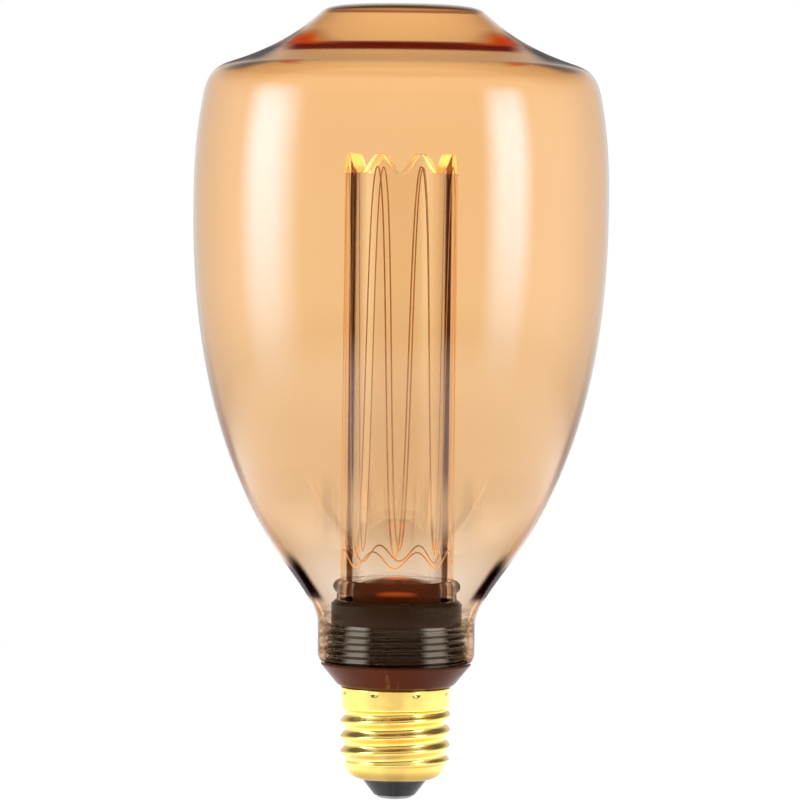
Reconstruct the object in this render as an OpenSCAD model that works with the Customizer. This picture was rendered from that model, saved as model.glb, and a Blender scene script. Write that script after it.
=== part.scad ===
/* [Screw cap] */
// Diameter over the thread of the cap
thread_d = 26.2; // [25.8:0.05:26.6]
// Diameter at the root of that thread
thread_root_d = 24.2; // [23.6:0.05:24.6]
// Rise of the thread in one turn
thread_pitch = 3.629; // [3.2:0.001:4]
// Height of the threaded stretch
thread_h = 13.7; // [12.5:0.1:15]
// Diameter of the smooth band above the thread
band_d = 26; // [25.6:0.05:26.6]
// Height of the smooth band
band_h = 4.6; // [3.6:0.1:6]
// Thickness of the cap's sheet metal
shell_wall = 0.45; // [0.35:0.05:0.6]
// Height of the rounded bottom of the cap
cap_round_h = 3.6; // [3:0.1:4.4]
// Diameter of the mouth that the insulator fills
cap_mouth_d = 15.4; // [14:0.1:17]
// Number of crimp dots round the smooth band
crimp_count = 8; // [4:1:12]
// Diameter of a crimp dot
crimp_d = 1.3; // [0.8:0.1:1.8]

/* [Contact and insulator] */
// Diameter of the contact button
contact_d = 8.4; // [7:0.1:9.2]
// Thickness of the contact button
contact_h = 0.8; // [0.5:0.1:1.2]
// Diameter of the flat that touches the lamp holder
contact_flat_d = 5; // [3:0.1:6]
// Diameter of the rivet behind the button
rivet_d = 3.2; // [2.4:0.1:4]
// Height of the cap's mouth above the contact
mouth_z = 4.6; // [3.8:0.1:6]
// Diameter of the insulator round the contact
insulator_tip_d = 9.7; // [9.3:0.1:11]
// Thickness of the insulator's flange inside the cap
insulator_flange_h = 1.6; // [1:0.1:2.4]

/* [Base housing] */
// Diameter of the cone where it meets the cap
cone_small_d = 28; // [27:0.1:30]
// Diameter of the cone under the glass
cone_large_d = 35.6; // [35:0.1:37]
// Height of the cone and its lips
cone_h = 5.8; // [4.5:0.1:8]
// Height of the chamfer under the cone
cone_chamfer = 0.7; // [0.3:0.1:1.2]
// Height of the solid foot between the cone and the cup for the tube
foot_h = 2.9; // [2:0.1:4]
// Height of the cup's wall above that foot
ridged_h = 6.3; // [5:0.1:9]
// Diameter over the ridges at the wall's top
ridge_d = 31.8; // [31.2:0.1:32.6]
// Gap between the ridges and the glass at the cone
neck_gap = 0.5; // [0.3:0.05:0.8]
// Depth of a ridge
ridge_depth = 0.5; // [0.2:0.05:0.6]
// Rise of the ridges in one turn
ridge_pitch = 1.6; // [1.4:0.1:2.4]
// Thickness of the ridged wall under the ridges, at its top
ridged_wall = 1.3; // [1:0.1:1.3]
// Depth of the cement's surface below the ridged wall's top
cement_drop = 0.8; // [0.4:0.1:2]
// Length of the sleeve inside the cap
sleeve_len = 14.7; // [12:0.1:16]
// Thickness of the sleeve
sleeve_wall = 1.2; // [0.9:0.1:1.6]
// Diameter of the cable hole in the sleeve's floor
floor_hole_d = 12; // [9:0.5:14]
// Diameter of the space under the heat spreader
well_d = 24.8; // [23:0.1:26]

/* [Tube collar] */
// Diameter of the collar
collar_d = 31; // [29.4:0.1:31]
// Height of the collar above the housing
collar_h = 5.6; // [4:0.1:9]
// Chamfer round the collar's top
collar_chamfer = 0.9; // [0.3:0.1:1.2]
// Diameter of the bead round the tube's foot
gasket_d = 30.2; // [29:0.1:31]
// Height of the bead
gasket_bead_h = 3.3; // [2.4:0.1:4.4]
// Height of the lip under the bead
gasket_lip_h = 1.5; // [0.8:0.1:2.4]

/* [Light guide] */
// Outer diameter of the acrylic tube
tube_d = 26.8; // [26:0.1:27.2]
// Wall of the acrylic tube
tube_wall = 2.8; // [2:0.1:3.4]
// Length of the tube from the LEDs to its crests
tube_len = 113.2; // [112.8:0.1:120]
// Number of waves in the top edge, and of engraved figures
waves = 8; // [6:1:12]
// Angle by which the waves and figures are turned from the front
pattern_turn = -2.3; // [-20:0.1:20]
// Depth of the waves in the top edge
wave_depth = 4.6; // [2:0.1:7]
// Height of the drop figures' rounded bottoms above the tube's foot
drop_z = 18.5; // [14:0.1:18.8]
// Height of the drop figures
drop_h = 91.6; // [60:0.1:91.8]
// Height of the wave ring's middle above the tube's foot
ring_z = 17.8; // [14:0.1:20]
// Height of the wave ring from trough to crest
ring_wave_h = 3.8; // [2:0.1:6]
// Width of an engraved line
engrave_w = 0.5; // [0.3:0.05:0.8]
// Depth of an engraved line
engrave_depth = 0.4; // [0.2:0.05:0.6]
// Height of the plug's straight side
plug_side_h = 10.4; // [6:0.1:14]
// Height of the plug's dome
plug_dome_h = 3.2; // [1.5:0.1:5]
// Wall of the plug
plug_wall = 1.2; // [0.8:0.1:1.6]
// Diameter of the dimple in the plug's dome
dimple_d = 7.6; // [4:0.1:10]

/* [Glass envelope] */
// Height of the glass from its lip to its crown
glass_h = 155.6; // [150:0.1:165]
// Outer diameter of the neck
neck_d = 37.2; // [36.6:0.1:39]
// Height of the straight neck
neck_h = 8.8; // [6:0.1:12]
// Wall of the glass
glass_wall = 1.3; // [0.8:0.05:1.4]
// Outer diameter where the pear's side is straightest
flank_d = 66.2; // [60:0.1:72]
// Height of that place above the lip
flank_h = 33.6; // [30:0.1:38]
// Angle of the glass there from upright
flank_angle = 28.6; // [20:0.1:36]
// Largest outer diameter
widest_d = 98.2; // [96:0.1:106]
// Height of the largest diameter above the lip
widest_h = 107.6; // [96:0.1:112]
// Outer diameter at the foot of the shoulder
shoulder_d = 94.4; // [92:0.1:96]
// Height of the shoulder's foot above the lip
shoulder_h = 133.1; // [128:0.1:136]
// Outer diameter at the shoulder's top
slope_d = 82.2; // [76:0.1:86]
// Height of the shoulder's top above the lip
slope_h = 141.6; // [139:0.1:144]
// Angle of the slope at the shoulder, from level
slope_angle = 18; // [10:1:24]
// Outer diameter at the edge of the crown
crown_d = 38.2; // [32:0.1:44]
// Drop of the crown's edge below its top
crown_drop = 1.7; // [1:0.1:3]
// Angle of the slope at the crown's edge, from level
crown_angle = 42; // [32:1:50]
// Diameter of the flat crown
crown_flat_d = 17; // [8:0.1:24]
// Height of the rounded lip under the neck
lip_round_h = 1.9; // [0.8:0.1:2.4]
// Extra thickness of the glass behind the crown's edge
crown_extra = 1.1; // [0:0.1:1.6]

/* [LED board] */
// Thickness of the LED board
led_board_h = 1.6; // [1:0.1:2]
// Diameter of the cable hole through board and spreader
board_hole_d = 8; // [6:0.1:9]
// Thickness of the heat spreader
spreader_h = 2; // [1.2:0.1:3]
// Number of LED packages
led_count = 12; // [8:1:14]
// Length of an LED package round the ring
led_w = 3.5; // [2.8:0.1:4]
// Width of an LED package across the ring
led_d = 2.4; // [1.8:0.1:2.5]
// Height of an LED package
led_h = 0.7; // [0.5:0.1:1]
// Distance of a board screw from the axis
screw_place = 6.6; // [6.4:0.1:7]
// Diameter of a board screw's head
screw_head_d = 4; // [3.4:0.1:4.2]
// Height of a board screw's head
screw_head_h = 1.5; // [1:0.1:2]
// Diameter of a board screw's shank
screw_d = 2.2; // [1.6:0.1:2.4]
// Length of a board screw's shank
screw_len = 5; // [4:0.1:5.2]

/* [Driver] */
// Width of the driver board
board_w = 17; // [14:0.1:17.4]
// Height of the driver board
board_h = 20.5; // [18:0.1:21]
// Thickness of the driver board
board_t = 1.2; // [0.8:0.1:1.6]
// Diameter of the electrolytic capacitor
cap_can_d = 8; // [6.3:0.1:8.2]
// Length of the electrolytic capacitor
cap_can_len = 12; // [8:0.1:12.5]
// Diameter of the inductor
inductor_d = 7.4; // [6:0.1:8]
// Length of the inductor
inductor_len = 6; // [4:0.1:7]
// Width of the bridge rectifier
rectifier_w = 4.7; // [4:0.1:6]
// Height of the bridge rectifier
rectifier_h = 3.9; // [3:0.1:5]
// Thickness of the bridge rectifier
rectifier_t = 1.5; // [1:0.1:2.4]
// Width of the driver chip
ic_w = 3.9; // [3:0.1:4.4]
// Height of the driver chip
ic_h = 4.9; // [4:0.1:5.4]
// Thickness of the driver chip
ic_t = 1.4; // [1:0.1:2]
// Diameter of the fusible resistor
fuse_d = 2.8; // [2:0.1:3.2]
// Length of the fusible resistor
fuse_len = 6.4; // [5:0.1:7]
// Diameter of an insulated wire
wire_d = 1; // [0.8:0.05:1.3]

/* [Hidden] */
$fn = 72;

// Clearances
cap_fit = 0.1;
guide_fit = 0.05;
cup_fit = 0.05;
rib_fit = 0.05;

// Heights, from the contact up
thread_z = mouth_z + cap_round_h;
band_z = thread_z + thread_h;
cap_top_z = band_z + band_h;
cone_top_z = cap_top_z + cone_h;
cup_floor_z = cone_top_z + foot_h;
housing_top_z = cup_floor_z + ridged_h;
collar_top_z = housing_top_z + collar_h;
led_board_z = cup_floor_z + spreader_h;
led_seat_z = led_board_z + led_board_h;
tube_foot_z = led_seat_z + led_h;
tube_top_z = tube_foot_z + tube_len;
flange_z = mouth_z + shell_wall;
flange_top_z = flange_z + insulator_flange_h;
rivet_top_z = flange_top_z + 0.6;
sleeve_z = cap_top_z - sleeve_len;
board_z = sleeve_z + sleeve_wall;

// Radii
thread_r = thread_d / 2;
root_r = thread_root_d / 2;
band_r = band_d / 2;
mouth_r = cap_mouth_d / 2;
tube_r = tube_d / 2;
bore_r = tube_r - tube_wall;
plug_r = bore_r - 2 * guide_fit;
guide_r = tube_r + guide_fit;
neck_r = neck_d / 2;
neck_bore_r = neck_r - glass_wall;
// The ridges stand on a skin that is a little proud of the wall's core
skin_lift = 0.1;
foot_r = neck_bore_r - neck_gap;
ridge_r = ridge_d / 2;
core_foot_r = foot_r - ridge_depth - skin_lift;
core_r = ridge_r - ridge_depth - skin_lift;
cup_r = core_r - ridged_wall;
sleeve_r = root_r - shell_wall - cap_fit;
sleeve_bore_r = sleeve_r - sleeve_wall;

// Curves
function mix(a, b, t) = a + (b - a) * t;
function clamp01(t) = max(0, min(1, t));
function ease(t) = let (c = clamp01(t)) c * c * (3 - 2 * c);
function bezier(p, u) =
    (1 - u) ^ 3 * p[0] + 3 * (1 - u) ^ 2 * u * p[1] + 3 * (1 - u) * u ^ 2 * p[2] + u ^ 3 * p[3];
function heading(a) = [cos(a), sin(a)];
function unit(v) = v / norm(v);
// Points of a curve from p0, leaving at angle a0, to p1, arriving at angle a1, without its last point
function sweep_curve(p0, a0, k0, p1, a1, k1, steps) =
    let (d = norm(p1 - p0), c = [p0, p0 + k0 * d * heading(a0), p1 - k1 * d * heading(a1), p1])
    [for (i = [0:steps - 1]) bezier(c, i / steps)];

// Glass outline, as radius and height above the lip
flank = [flank_d / 2, flank_h];
widest = [widest_d / 2, widest_h];
shoulder = [shoulder_d / 2, shoulder_h];
slope_top = [slope_d / 2, slope_h];
crown_edge = [crown_d / 2, glass_h - crown_drop];
crown_flat = [crown_flat_d / 2, glass_h];
shoulder_lean = 10;
glass_outer = concat(
    [[neck_r, lip_round_h]],
    sweep_curve([neck_r, neck_h], 90, 0.2, flank, 90 - flank_angle, 0.43, 10),
    sweep_curve(flank, 90 - flank_angle, 0.32, widest, 90, 0.37, 11),
    sweep_curve(widest, 90, 0.38, shoulder, 90 + shoulder_lean, 0.38, 5),
    sweep_curve(shoulder, 90 + shoulder_lean, 0.47, slope_top, 180 - slope_angle, 0.4, 7),
    sweep_curve(slope_top, 180 - slope_angle, 0.42, crown_edge, 180 - crown_angle, 0.33, 8),
    sweep_curve(crown_edge, 180 - crown_angle, 0.16, crown_flat, 180, 0.54, 6),
    [crown_flat, [0, glass_h]]);

// Wall thickness of the glass, which is thicker behind the crown's edge
function wall_at(p) = glass_wall
    + (p.y > slope_h ? crown_extra * exp(-((p.x - 1.25 * crown_edge.x) / 4) ^ 2) : 0);
function inset(pts, i) =
    let (last = len(pts) - 1, h = unit(pts[min(i + 1, last)] - pts[max(i - 1, 0)]), t = wall_at(pts[i]))
    i == last ? [0, pts[i].y - t] : i == 0 ? [pts[i].x - t, pts[i].y] : pts[i] + t * [-h.y, h.x];
glass_inner = [for (i = [0:len(glass_outer) - 1]) inset(glass_outer, i)];
lip_contact_r = neck_bore_r + 0.25;
lip_arc = concat([[neck_bore_r, 0.35]], [for (a = [-90:15:-15])
    [lip_contact_r + (neck_r - lip_contact_r) * cos(a), lip_round_h * (1 + sin(a))]]);

// Closed skin over rings of points, which wraps round both ways
module ring_skin(rings) {
    m = len(rings);
    n = len(rings[0]);
    points = [for (ring = rings) each ring];
    faces = [for (i = [0:m - 1], j = [0:n - 1])
        let (row = i * n, next_row = ((i + 1) % m) * n, k = (j + 1) % n)
        each [[row + j, next_row + k, row + k], [row + j, next_row + j, next_row + k]]];
    polyhedron(points, faces, convexity = 10);
}

function ring(radii, heights, start = 0) =
    let (n = len(radii))
    [for (j = [0:n - 1])
        let (a = start + 360 * j / n)
        [radii[j] * cos(a), radii[j] * sin(a), heights[j]]];
function level_ring(r, z, n, start = 0) = ring([for (j = [0:n - 1]) r], [for (j = [0:n - 1]) z], start);

// Round wire along a route of points chosen by hand
function spline(p, i, u) =
    let (last = len(p) - 1, a = p[max(i - 1, 0)], b = p[i], c = p[i + 1], d = p[min(i + 2, last)])
    0.5 * (2 * b + (c - a) * u + (2 * a - 5 * b + 4 * c - d) * u ^ 2 + (3 * b - a - 3 * c + d) * u ^ 3);
function smooth_route(p, steps) =
    concat([for (i = [0:len(p) - 2], s = [0:steps - 1]) spline(p, i, s / steps)], [p[len(p) - 1]]);
wire_sides = 8;
wire_side_ref = [0, 1, 0.2];
module wire(route, d) {
    p = smooth_route(route, 3);
    last = len(p) - 1;
    rings = [for (i = [0:last])
        let (t = unit(p[min(i + 1, last)] - p[max(i - 1, 0)]))
        let (u = unit(cross(t, wire_side_ref)), v = cross(t, u), step = 360 / wire_sides)
        [for (k = [0:wire_sides - 1]) p[i] + d / 2 * (cos(step * k) * u + sin(step * k) * v)]];
    n = wire_sides;
    sides = [for (i = [0:last - 1], k = [0:n - 1])
        let (a = i * n + k, b = i * n + (k + 1) % n) each [[a, b + n, b], [a, a + n, b + n]]];
    ends = [[for (k = [0:n - 1]) k], [for (k = [n - 1:-1:0]) last * n + k]];
    polyhedron([for (r = rings) each r], concat(sides, ends), convexity = 6);
}

// How far a helical ridge is raised at a height and an angle, from 0 at its root to 1 at its crest
function helix_lift(z, a, pitch, phase = 0, sharp = 1) =
    (0.5 + 0.5 * cos(360 * (z - phase) / pitch - a)) ^ sharp;

module glass_envelope() {
    color("orange", 0.45)
    translate([0, 0, cone_top_z])
    rotate_extrude()
    polygon(concat(glass_outer, [for (i = [len(glass_inner) - 1:-1:0]) glass_inner[i]], lip_arc));
}

// Height of the tube's wavy top edge at an angle
function edge_z(a) = tube_top_z - wave_depth * (1 + cos(waves * (a - pattern_turn))) / 2;
tube_columns = 12 * waves;
tube_angles = [for (j = [0:tube_columns - 1]) pattern_turn + 360 * j / tube_columns];
module tube_blank() {
    edge = [for (a = tube_angles) edge_z(a)];
    ring_skin([
        level_ring(tube_r, tube_foot_z, tube_columns, pattern_turn),
        ring([for (a = tube_angles) tube_r], edge, pattern_turn),
        ring([for (a = tube_angles) bore_r], edge, pattern_turn),
        level_ring(bore_r, tube_foot_z, tube_columns, pattern_turn)]);
}

// V-shaped cutter along a closed line on the tube, given as angles and heights
module engraved_line(line) {
    n = len(line);
    lift = 0.05;
    half_w = engrave_w / 2 * (1 + lift / engrave_depth);
    function on_tube(p, r) = [r * cos(p.x), r * sin(p.x), p.y];
    function along(i) = on_tube(line[(i + 1) % n], tube_r) - on_tube(line[(i + n - 1) % n], tube_r);
    ring_skin([for (i = [0:n - 1])
        let (p = line[i], side = unit(cross([cos(p.x), sin(p.x), 0], along(i))))
        [on_tube(p, tube_r - engrave_depth), on_tube(p, tube_r + lift) + half_w * side,
            on_tube(p, tube_r + lift) - half_w * side]]);
}
drop_steps = 9;
function drop_leg(u) = bezier([[0, 0], [0.57, 0], [0.43, 1], [1, 1]], u);
function drop_point(k, side, u) = let (c = drop_leg(u))
    [(2 * k + side * c.x) * 180 / waves + pattern_turn, tube_foot_z + drop_z + drop_h * c.y];
drop_line = [for (k = [0:waves - 1], i = [1 - drop_steps:drop_steps])
    drop_point(k, sign(i), abs(i) / drop_steps)];
ring_steps = 8 * waves;
ring_line = [for (i = [0:ring_steps - 1]) let (a = 360 * i / ring_steps)
    [a + pattern_turn, tube_foot_z + ring_z - ring_wave_h / 2 * cos(waves * a)]];
module light_guide_tube() {
    color("wheat", 0.5)
    difference() {
        tube_blank();
        engraved_line(drop_line);
        engraved_line(ring_line);
    }
}

module tube_gasket() {
    bead_z = collar_top_z + gasket_lip_h;
    bead_w = gasket_d / 2 - tube_r;
    color("gainsboro", 0.6)
    rotate_extrude()
    polygon(concat(
        [[tube_r, collar_top_z], [tube_r + bead_w / 2, collar_top_z]],
        [for (a = [-60:15:75]) [tube_r + bead_w * cos(a), bead_z + gasket_bead_h * (1 + sin(a)) / 2]],
        [[tube_r, bead_z + gasket_bead_h]]));
}

module inner_plug() {
    side_z = led_seat_z + plug_side_h;
    dimple_r = dimple_d / 2;
    rim_angle = acos(dimple_r / plug_r);
    dimple_floor_share = 0.68;
    dimple_slant = 0.4;
    dimple_z = side_z + dimple_floor_share * plug_dome_h;
    color("saddlebrown")
    rotate_extrude()
    polygon(concat(
        [[plug_r - plug_wall, led_seat_z], [plug_r, led_seat_z]],
        [for (i = [0:8]) let (a = rim_angle * i / 8) [plug_r * cos(a), side_z + plug_dome_h * sin(a)]],
        [[dimple_r - dimple_slant, dimple_z], [0, dimple_z], [0, side_z], [plug_r - plug_wall, side_z]]));
}

module tube_collar() {
    collar_r = collar_d / 2;
    spigot_r = cup_r - cup_fit;
    color("#4a2c1c")
    rotate_extrude()
    polygon([[guide_r, led_seat_z], [spigot_r, led_seat_z], [spigot_r, housing_top_z],
        [collar_r, housing_top_z], [collar_r, collar_top_z - collar_chamfer],
        [collar_r - collar_chamfer, collar_top_z], [guide_r, collar_top_z]]);
}

// The neck wall tapers from the cone up to the collar
function neck_taper(foot, top, z) = mix(foot, top, (z - cone_top_z) / (housing_top_z - cone_top_z));
function core_at(z) = neck_taper(core_foot_r, core_r, z);
function crest_at(z) = neck_taper(foot_r, ridge_r, z);

ridge_columns = 40;
ridge_steps_per_turn = 7;
module ridged_wall_skin() {
    z0 = cone_top_z - 0.15;
    z1 = housing_top_z - 0.2;
    run_out = 0.5;
    root = 0.4;
    steps = ceil((z1 - z0) / ridge_pitch * ridge_steps_per_turn);
    angles = [for (j = [0:ridge_columns - 1]) 360 * j / ridge_columns];
    function fade(z) = ease((z - z0) / run_out) * ease((z1 - z) / run_out);
    function ridge(z, a) = core_at(z) + skin_lift + ridge_depth * helix_lift(z, a, ridge_pitch) * fade(z);
    ring_skin(concat(
        [for (i = [0:steps]) let (z = mix(z0, z1, i / steps))
            ring([for (a = angles) ridge(z, a)], [for (a = angles) z])],
        [for (z = [z1, z0]) level_ring(core_at(z) - root, z, ridge_columns)]));
}

module base_housing() {
    seat_r = band_r - shell_wall - cap_fit;
    cone_step = 1.2;
    cone_foot_r = cone_small_d / 2 - cone_step;
    well_r = well_d / 2;
    rib_t = 1;
    rib_in = board_w / 2 - 1;
    rib_len = sleeve_r - 0.6 - rib_in;
    color("#5a2a18") {
        rotate_extrude()
        polygon([
            [floor_hole_d / 2, sleeve_z], [sleeve_r, sleeve_z], [sleeve_r, band_z + 0.5],
            [seat_r, band_z + 1.4], [seat_r, cap_top_z], [cone_foot_r, cap_top_z],
            [cone_small_d / 2, cap_top_z + cone_chamfer], [cone_large_d / 2, cone_top_z - 0.5],
            [cone_large_d / 2 - 0.15, cone_top_z], [core_foot_r, cone_top_z],
            [core_r, housing_top_z], [cup_r, housing_top_z], [cup_r, cup_floor_z],
            [well_r, cup_floor_z], [well_r, cone_top_z - 1], [sleeve_bore_r, cap_top_z + 0.6],
            [sleeve_bore_r, board_z], [floor_hole_d / 2, board_z]]);
        ridged_wall_skin();
        for (side = [0, 180], y = [board_t / 2 + rib_fit, -board_t / 2 - rib_fit - rib_t])
        rotate(side)
        translate([rib_in, y, board_z - 0.2])
        cube([rib_len, rib_t, cap_top_z - board_z]);
    }
}

module neck_adhesive() {
    gap = 0.05;
    meniscus = 0.4;
    out_r = neck_bore_r - 0.02;
    top_z = housing_top_z - cement_drop;
    color("silver", 0.6)
    rotate_extrude()
    polygon([[crest_at(cone_top_z) + gap, cone_top_z], [out_r, cone_top_z], [out_r, top_z],
        [crest_at(top_z) + gap, top_z - meniscus]]);
}

module screw_places() {
    for (side = [0, 180])
    rotate(side)
    translate([screw_place, 0, 0])
    children();
}

module heat_spreader() {
    color("silver")
    difference() {
        translate([0, 0, cup_floor_z])
        cylinder(h = spreader_h, r = cup_r - cup_fit);
        translate([0, 0, cup_floor_z - 1])
        cylinder(h = spreader_h + 2, d = board_hole_d);
        screw_places()
        translate([0, 0, cup_floor_z - 1])
        cylinder(h = spreader_h + 2, d = screw_d);
    }
}

module led_board() {
    color("white")
    difference() {
        translate([0, 0, led_board_z])
        cylinder(h = led_board_h, r = cup_r - 2 * cup_fit);
        translate([0, 0, led_board_z - 1])
        cylinder(h = led_board_h + 2, d = board_hole_d);
        screw_places()
        translate([0, 0, led_board_z - 1])
        cylinder(h = led_board_h + 2, d = screw_d + 0.3);
    }
}

module led_chips() {
    window_depth = 0.15;
    window_share = 0.75;
    color("khaki")
    for (i = [0:led_count - 1])
    rotate(360 * i / led_count)
    translate([tube_r - tube_wall / 2, 0, led_seat_z])
    difference() {
        translate([-led_d / 2, -led_w / 2, 0])
        cube([led_d, led_w, led_h]);
        translate([0, 0, led_h - window_depth])
        cylinder(h = 1, d = window_share * led_d);
    }
}

module board_screws() {
    slot_w = 0.7;
    slot_len = 0.7 * screw_head_d;
    color("lightgray")
    screw_places()
    difference() {
        union() {
            translate([0, 0, led_seat_z])
            cylinder(h = screw_head_h, d = screw_head_d);
            translate([0, 0, led_seat_z - screw_len])
            cylinder(h = screw_len, d = screw_d);
        }
        for (turn = [0, 90])
        rotate(turn)
        translate([-slot_len / 2, -slot_w / 2, led_seat_z + screw_head_h / 2])
        cube([slot_len, slot_w, screw_head_h]);
    }
}

front_y = -board_t / 2;
back_y = board_t / 2;
module driver_board() {
    color("darkgreen")
    translate([-board_w / 2, front_y, board_z])
    cube([board_w, board_t, board_h]);
}

can_place = [4.5 - board_w / 2, front_y - cap_can_d / 2, board_z + board_h - cap_can_len - 2];
module electrolytic_capacitor() {
    lead_d = 0.6;
    lead_drop = 1;
    color("#20242c")
    translate(can_place) {
        difference() {
            cylinder(h = cap_can_len, d = cap_can_d);
            translate([0, 0, cap_can_len - 0.3])
            cylinder(h = 1, d = cap_can_d - 1.4);
            translate([0, 0, 1.2])
            rotate_extrude()
            translate([cap_can_d / 2, 0])
            circle(d = 0.7, $fn = 24);
        }
        for (x = [-1.75, 1.75])
        translate([x, 0, -lead_drop]) {
            cylinder(h = lead_drop + 0.2, d = lead_d, $fn = 16);
            rotate([-90, 0, 0])
            cylinder(h = cap_can_d / 2, d = lead_d, $fn = 16);
        }
    }
}

module inductor() {
    flange = 0.9;
    color("#33302c")
    translate([-board_w / 2 + 5, back_y, board_z + board_h - 8])
    rotate([-90, 0, 0])
    rotate_extrude()
    polygon([[0, 0], [inductor_d / 2, 0], [inductor_d / 2, flange], [inductor_d / 2 - 0.6, flange],
        [inductor_d / 2 - 0.6, inductor_len - flange], [inductor_d / 2, inductor_len - flange],
        [inductor_d / 2, inductor_len], [0, inductor_len]]);
}

// Flat chip package with a row of legs on each side, lying on the board
module chip(w, h, t, legs, pitch) {
    leg_w = 0.5;
    translate([-w / 2, 0.1, -h / 2])
    cube([w, t - 0.1, h]);
    for (side = [-1, 1], i = [0:legs - 1])
    translate([side * (w / 2 + 0.4), 0, (i - (legs - 1) / 2) * pitch])
    translate([-0.5, 0, -leg_w / 2])
    cube([1, 0.3, leg_w]);
}

module bridge_rectifier() {
    color("#2b2b2b")
    translate([board_w / 2 - 4.5, back_y, board_z + 0.35 * board_h])
    chip(rectifier_w, rectifier_h, rectifier_t, 2, 2.4);
}

module driver_ic() {
    color("#1f1f1f")
    translate([board_w / 2 - 4, front_y, board_z + board_h - 7])
    rotate(180)
    chip(ic_w, ic_h, ic_t, 3, 1.27);
}

fuse_place = [4.2, front_y - 0.2 - fuse_d / 2, board_z + 1];
module fusible_resistor() {
    lead_d = 0.7;
    color("steelblue")
    translate(fuse_place) {
        cylinder(h = fuse_len, d = fuse_d);
        translate([0, 0, fuse_len - 0.2])
        cylinder(h = 1.2, d = lead_d, $fn = 16);
        translate([0, 0, fuse_len + 0.7])
        rotate([-90, 0, 0])
        cylinder(h = fuse_d / 2 + 0.2, d = lead_d, $fn = 16);
    }
}

// Thread of the cap
shell_columns = 40;
thread_steps_per_turn = 8;
thread_phase = 1.8;
thread_sharp = 1.2;
thread_run_in = 1.6;
thread_run_out = 1;

// Routes of the four inner wires
wire_r = wire_d / 2;
live_route = [[0, 0, rivet_top_z], [0, 0, rivet_top_z + 1], [1.6, -0.8, rivet_top_z + 2.4],
    [fuse_place.x, fuse_place.y, fuse_place.z - 1.6], fuse_place];
solder_r = 0.85;
solder_place = [solder_r + 0.05 + shell_wall - root_r, 0, thread_phase + 2 * thread_pitch];
neutral_route = [solder_place + [0.3, 0, 0], solder_place + [1.8, 0.2, 0.2], [-6.4, 1, solder_place.z + 0.9],
    [-4.4, back_y + wire_r, board_z - 1], [-4.4, back_y + wire_r, board_z + 1],
    [-4.4, back_y + wire_r, board_z + 3]];
function led_lead_route(side) = [[2.2 * side, back_y + wire_r, board_z + board_h - 3],
    [2.2 * side, back_y + wire_r, board_z + board_h - 0.5], [2.2 * side, 0.9, cup_floor_z + 0.6],
    [2.3 * side, 0.4, led_seat_z + 0.2], [3.2 * side, 1, led_seat_z + 1.2],
    [4.6 * side, 2.8, led_seat_z + wire_r + 0.2], [5.4 * side, 3.8, led_seat_z + wire_r]];

module live_wire() {
    color("red")
    wire(live_route, wire_d);
}

module neutral_wire() {
    color("royalblue") {
        wire(neutral_route, wire_d);
        translate(solder_place)
        sphere(r = solder_r, $fn = 24);
    }
}

module led_lead_positive() {
    color("firebrick")
    wire(led_lead_route(-1), wire_d);
}

module led_lead_negative() {
    color("black")
    wire(led_lead_route(1), wire_d);
}

module threaded_skin() {
    join = 0.04;
    angles = [for (j = [0:shell_columns - 1]) 360 * j / shell_columns];
    steps = ceil(thread_h / thread_pitch * thread_steps_per_turn);
    function thread_lift(z, a) = helix_lift(z, a, thread_pitch, thread_phase, thread_sharp)
        * ease((z - thread_z + 0.2) / thread_run_in);
    function thread_surface(z, a) =
        mix(mix(root_r, thread_r, thread_lift(z, a)), band_r - join, ease((z - band_z) / thread_run_out + 1));
    rings = [for (t = [0:22.5:67.5])
        [mix(mouth_r, root_r, sin(t)), mix(mouth_z, thread_z, 1 - cos(t)), sin(t)]];
    function round_ring(e, inward) =
        level_ring(e[0] - inward * e[2] * shell_wall, e[1] + inward * (1 - e[2]) * shell_wall, shell_columns);
    function inner_wall(i) = shell_wall - (i == steps ? 2 * join : 0);
    function thread_ring(i, inward) =
        let (z = mix(thread_z, band_z, i / steps))
        ring([for (a = angles) thread_surface(z, a) - inward * inner_wall(i)], [for (a = angles) z]);
    ring_skin(concat(
        [for (e = rings) round_ring(e, 0)],
        [for (i = [0:steps]) thread_ring(i, 0)],
        [level_ring(band_r - 3 * join, band_z + 0.4, shell_columns)],
        [level_ring(band_r - shell_wall + 3 * join, band_z + 0.4, shell_columns)],
        [for (i = [steps:-1:0]) thread_ring(i, 1)],
        [for (i = [len(rings) - 1:-1:0]) round_ring(rings[i], 1)]));
}

module cap_shell() {
    color("goldenrod")
    difference() {
        union() {
            translate([0, 0, band_z])
            difference() {
                cylinder(h = band_h, r = band_r);
                translate([0, 0, -1])
                cylinder(h = band_h + 2, r = band_r - shell_wall);
            }
            threaded_skin();
        }
        for (i = [0:crimp_count - 1])
        rotate(360 * (i + 0.5) / crimp_count)
        translate([band_r + 0.35 * crimp_d, 0, cap_top_z - 0.9])
        sphere(d = 1.2 * crimp_d, $fn = 24);
    }
}

module cap_insulator() {
    hole_r = rivet_d / 2 + 0.05;
    collar_r = mouth_r - cap_fit;
    flange_r = mouth_r + 1.2;
    color("#181818")
    rotate_extrude()
    polygon([[hole_r, contact_h], [insulator_tip_d / 2, contact_h], [collar_r, mouth_z - 0.3],
        [collar_r, flange_z], [flange_r, flange_z + 0.4], [flange_r, flange_top_z], [hole_r, flange_top_z]]);
}

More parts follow.
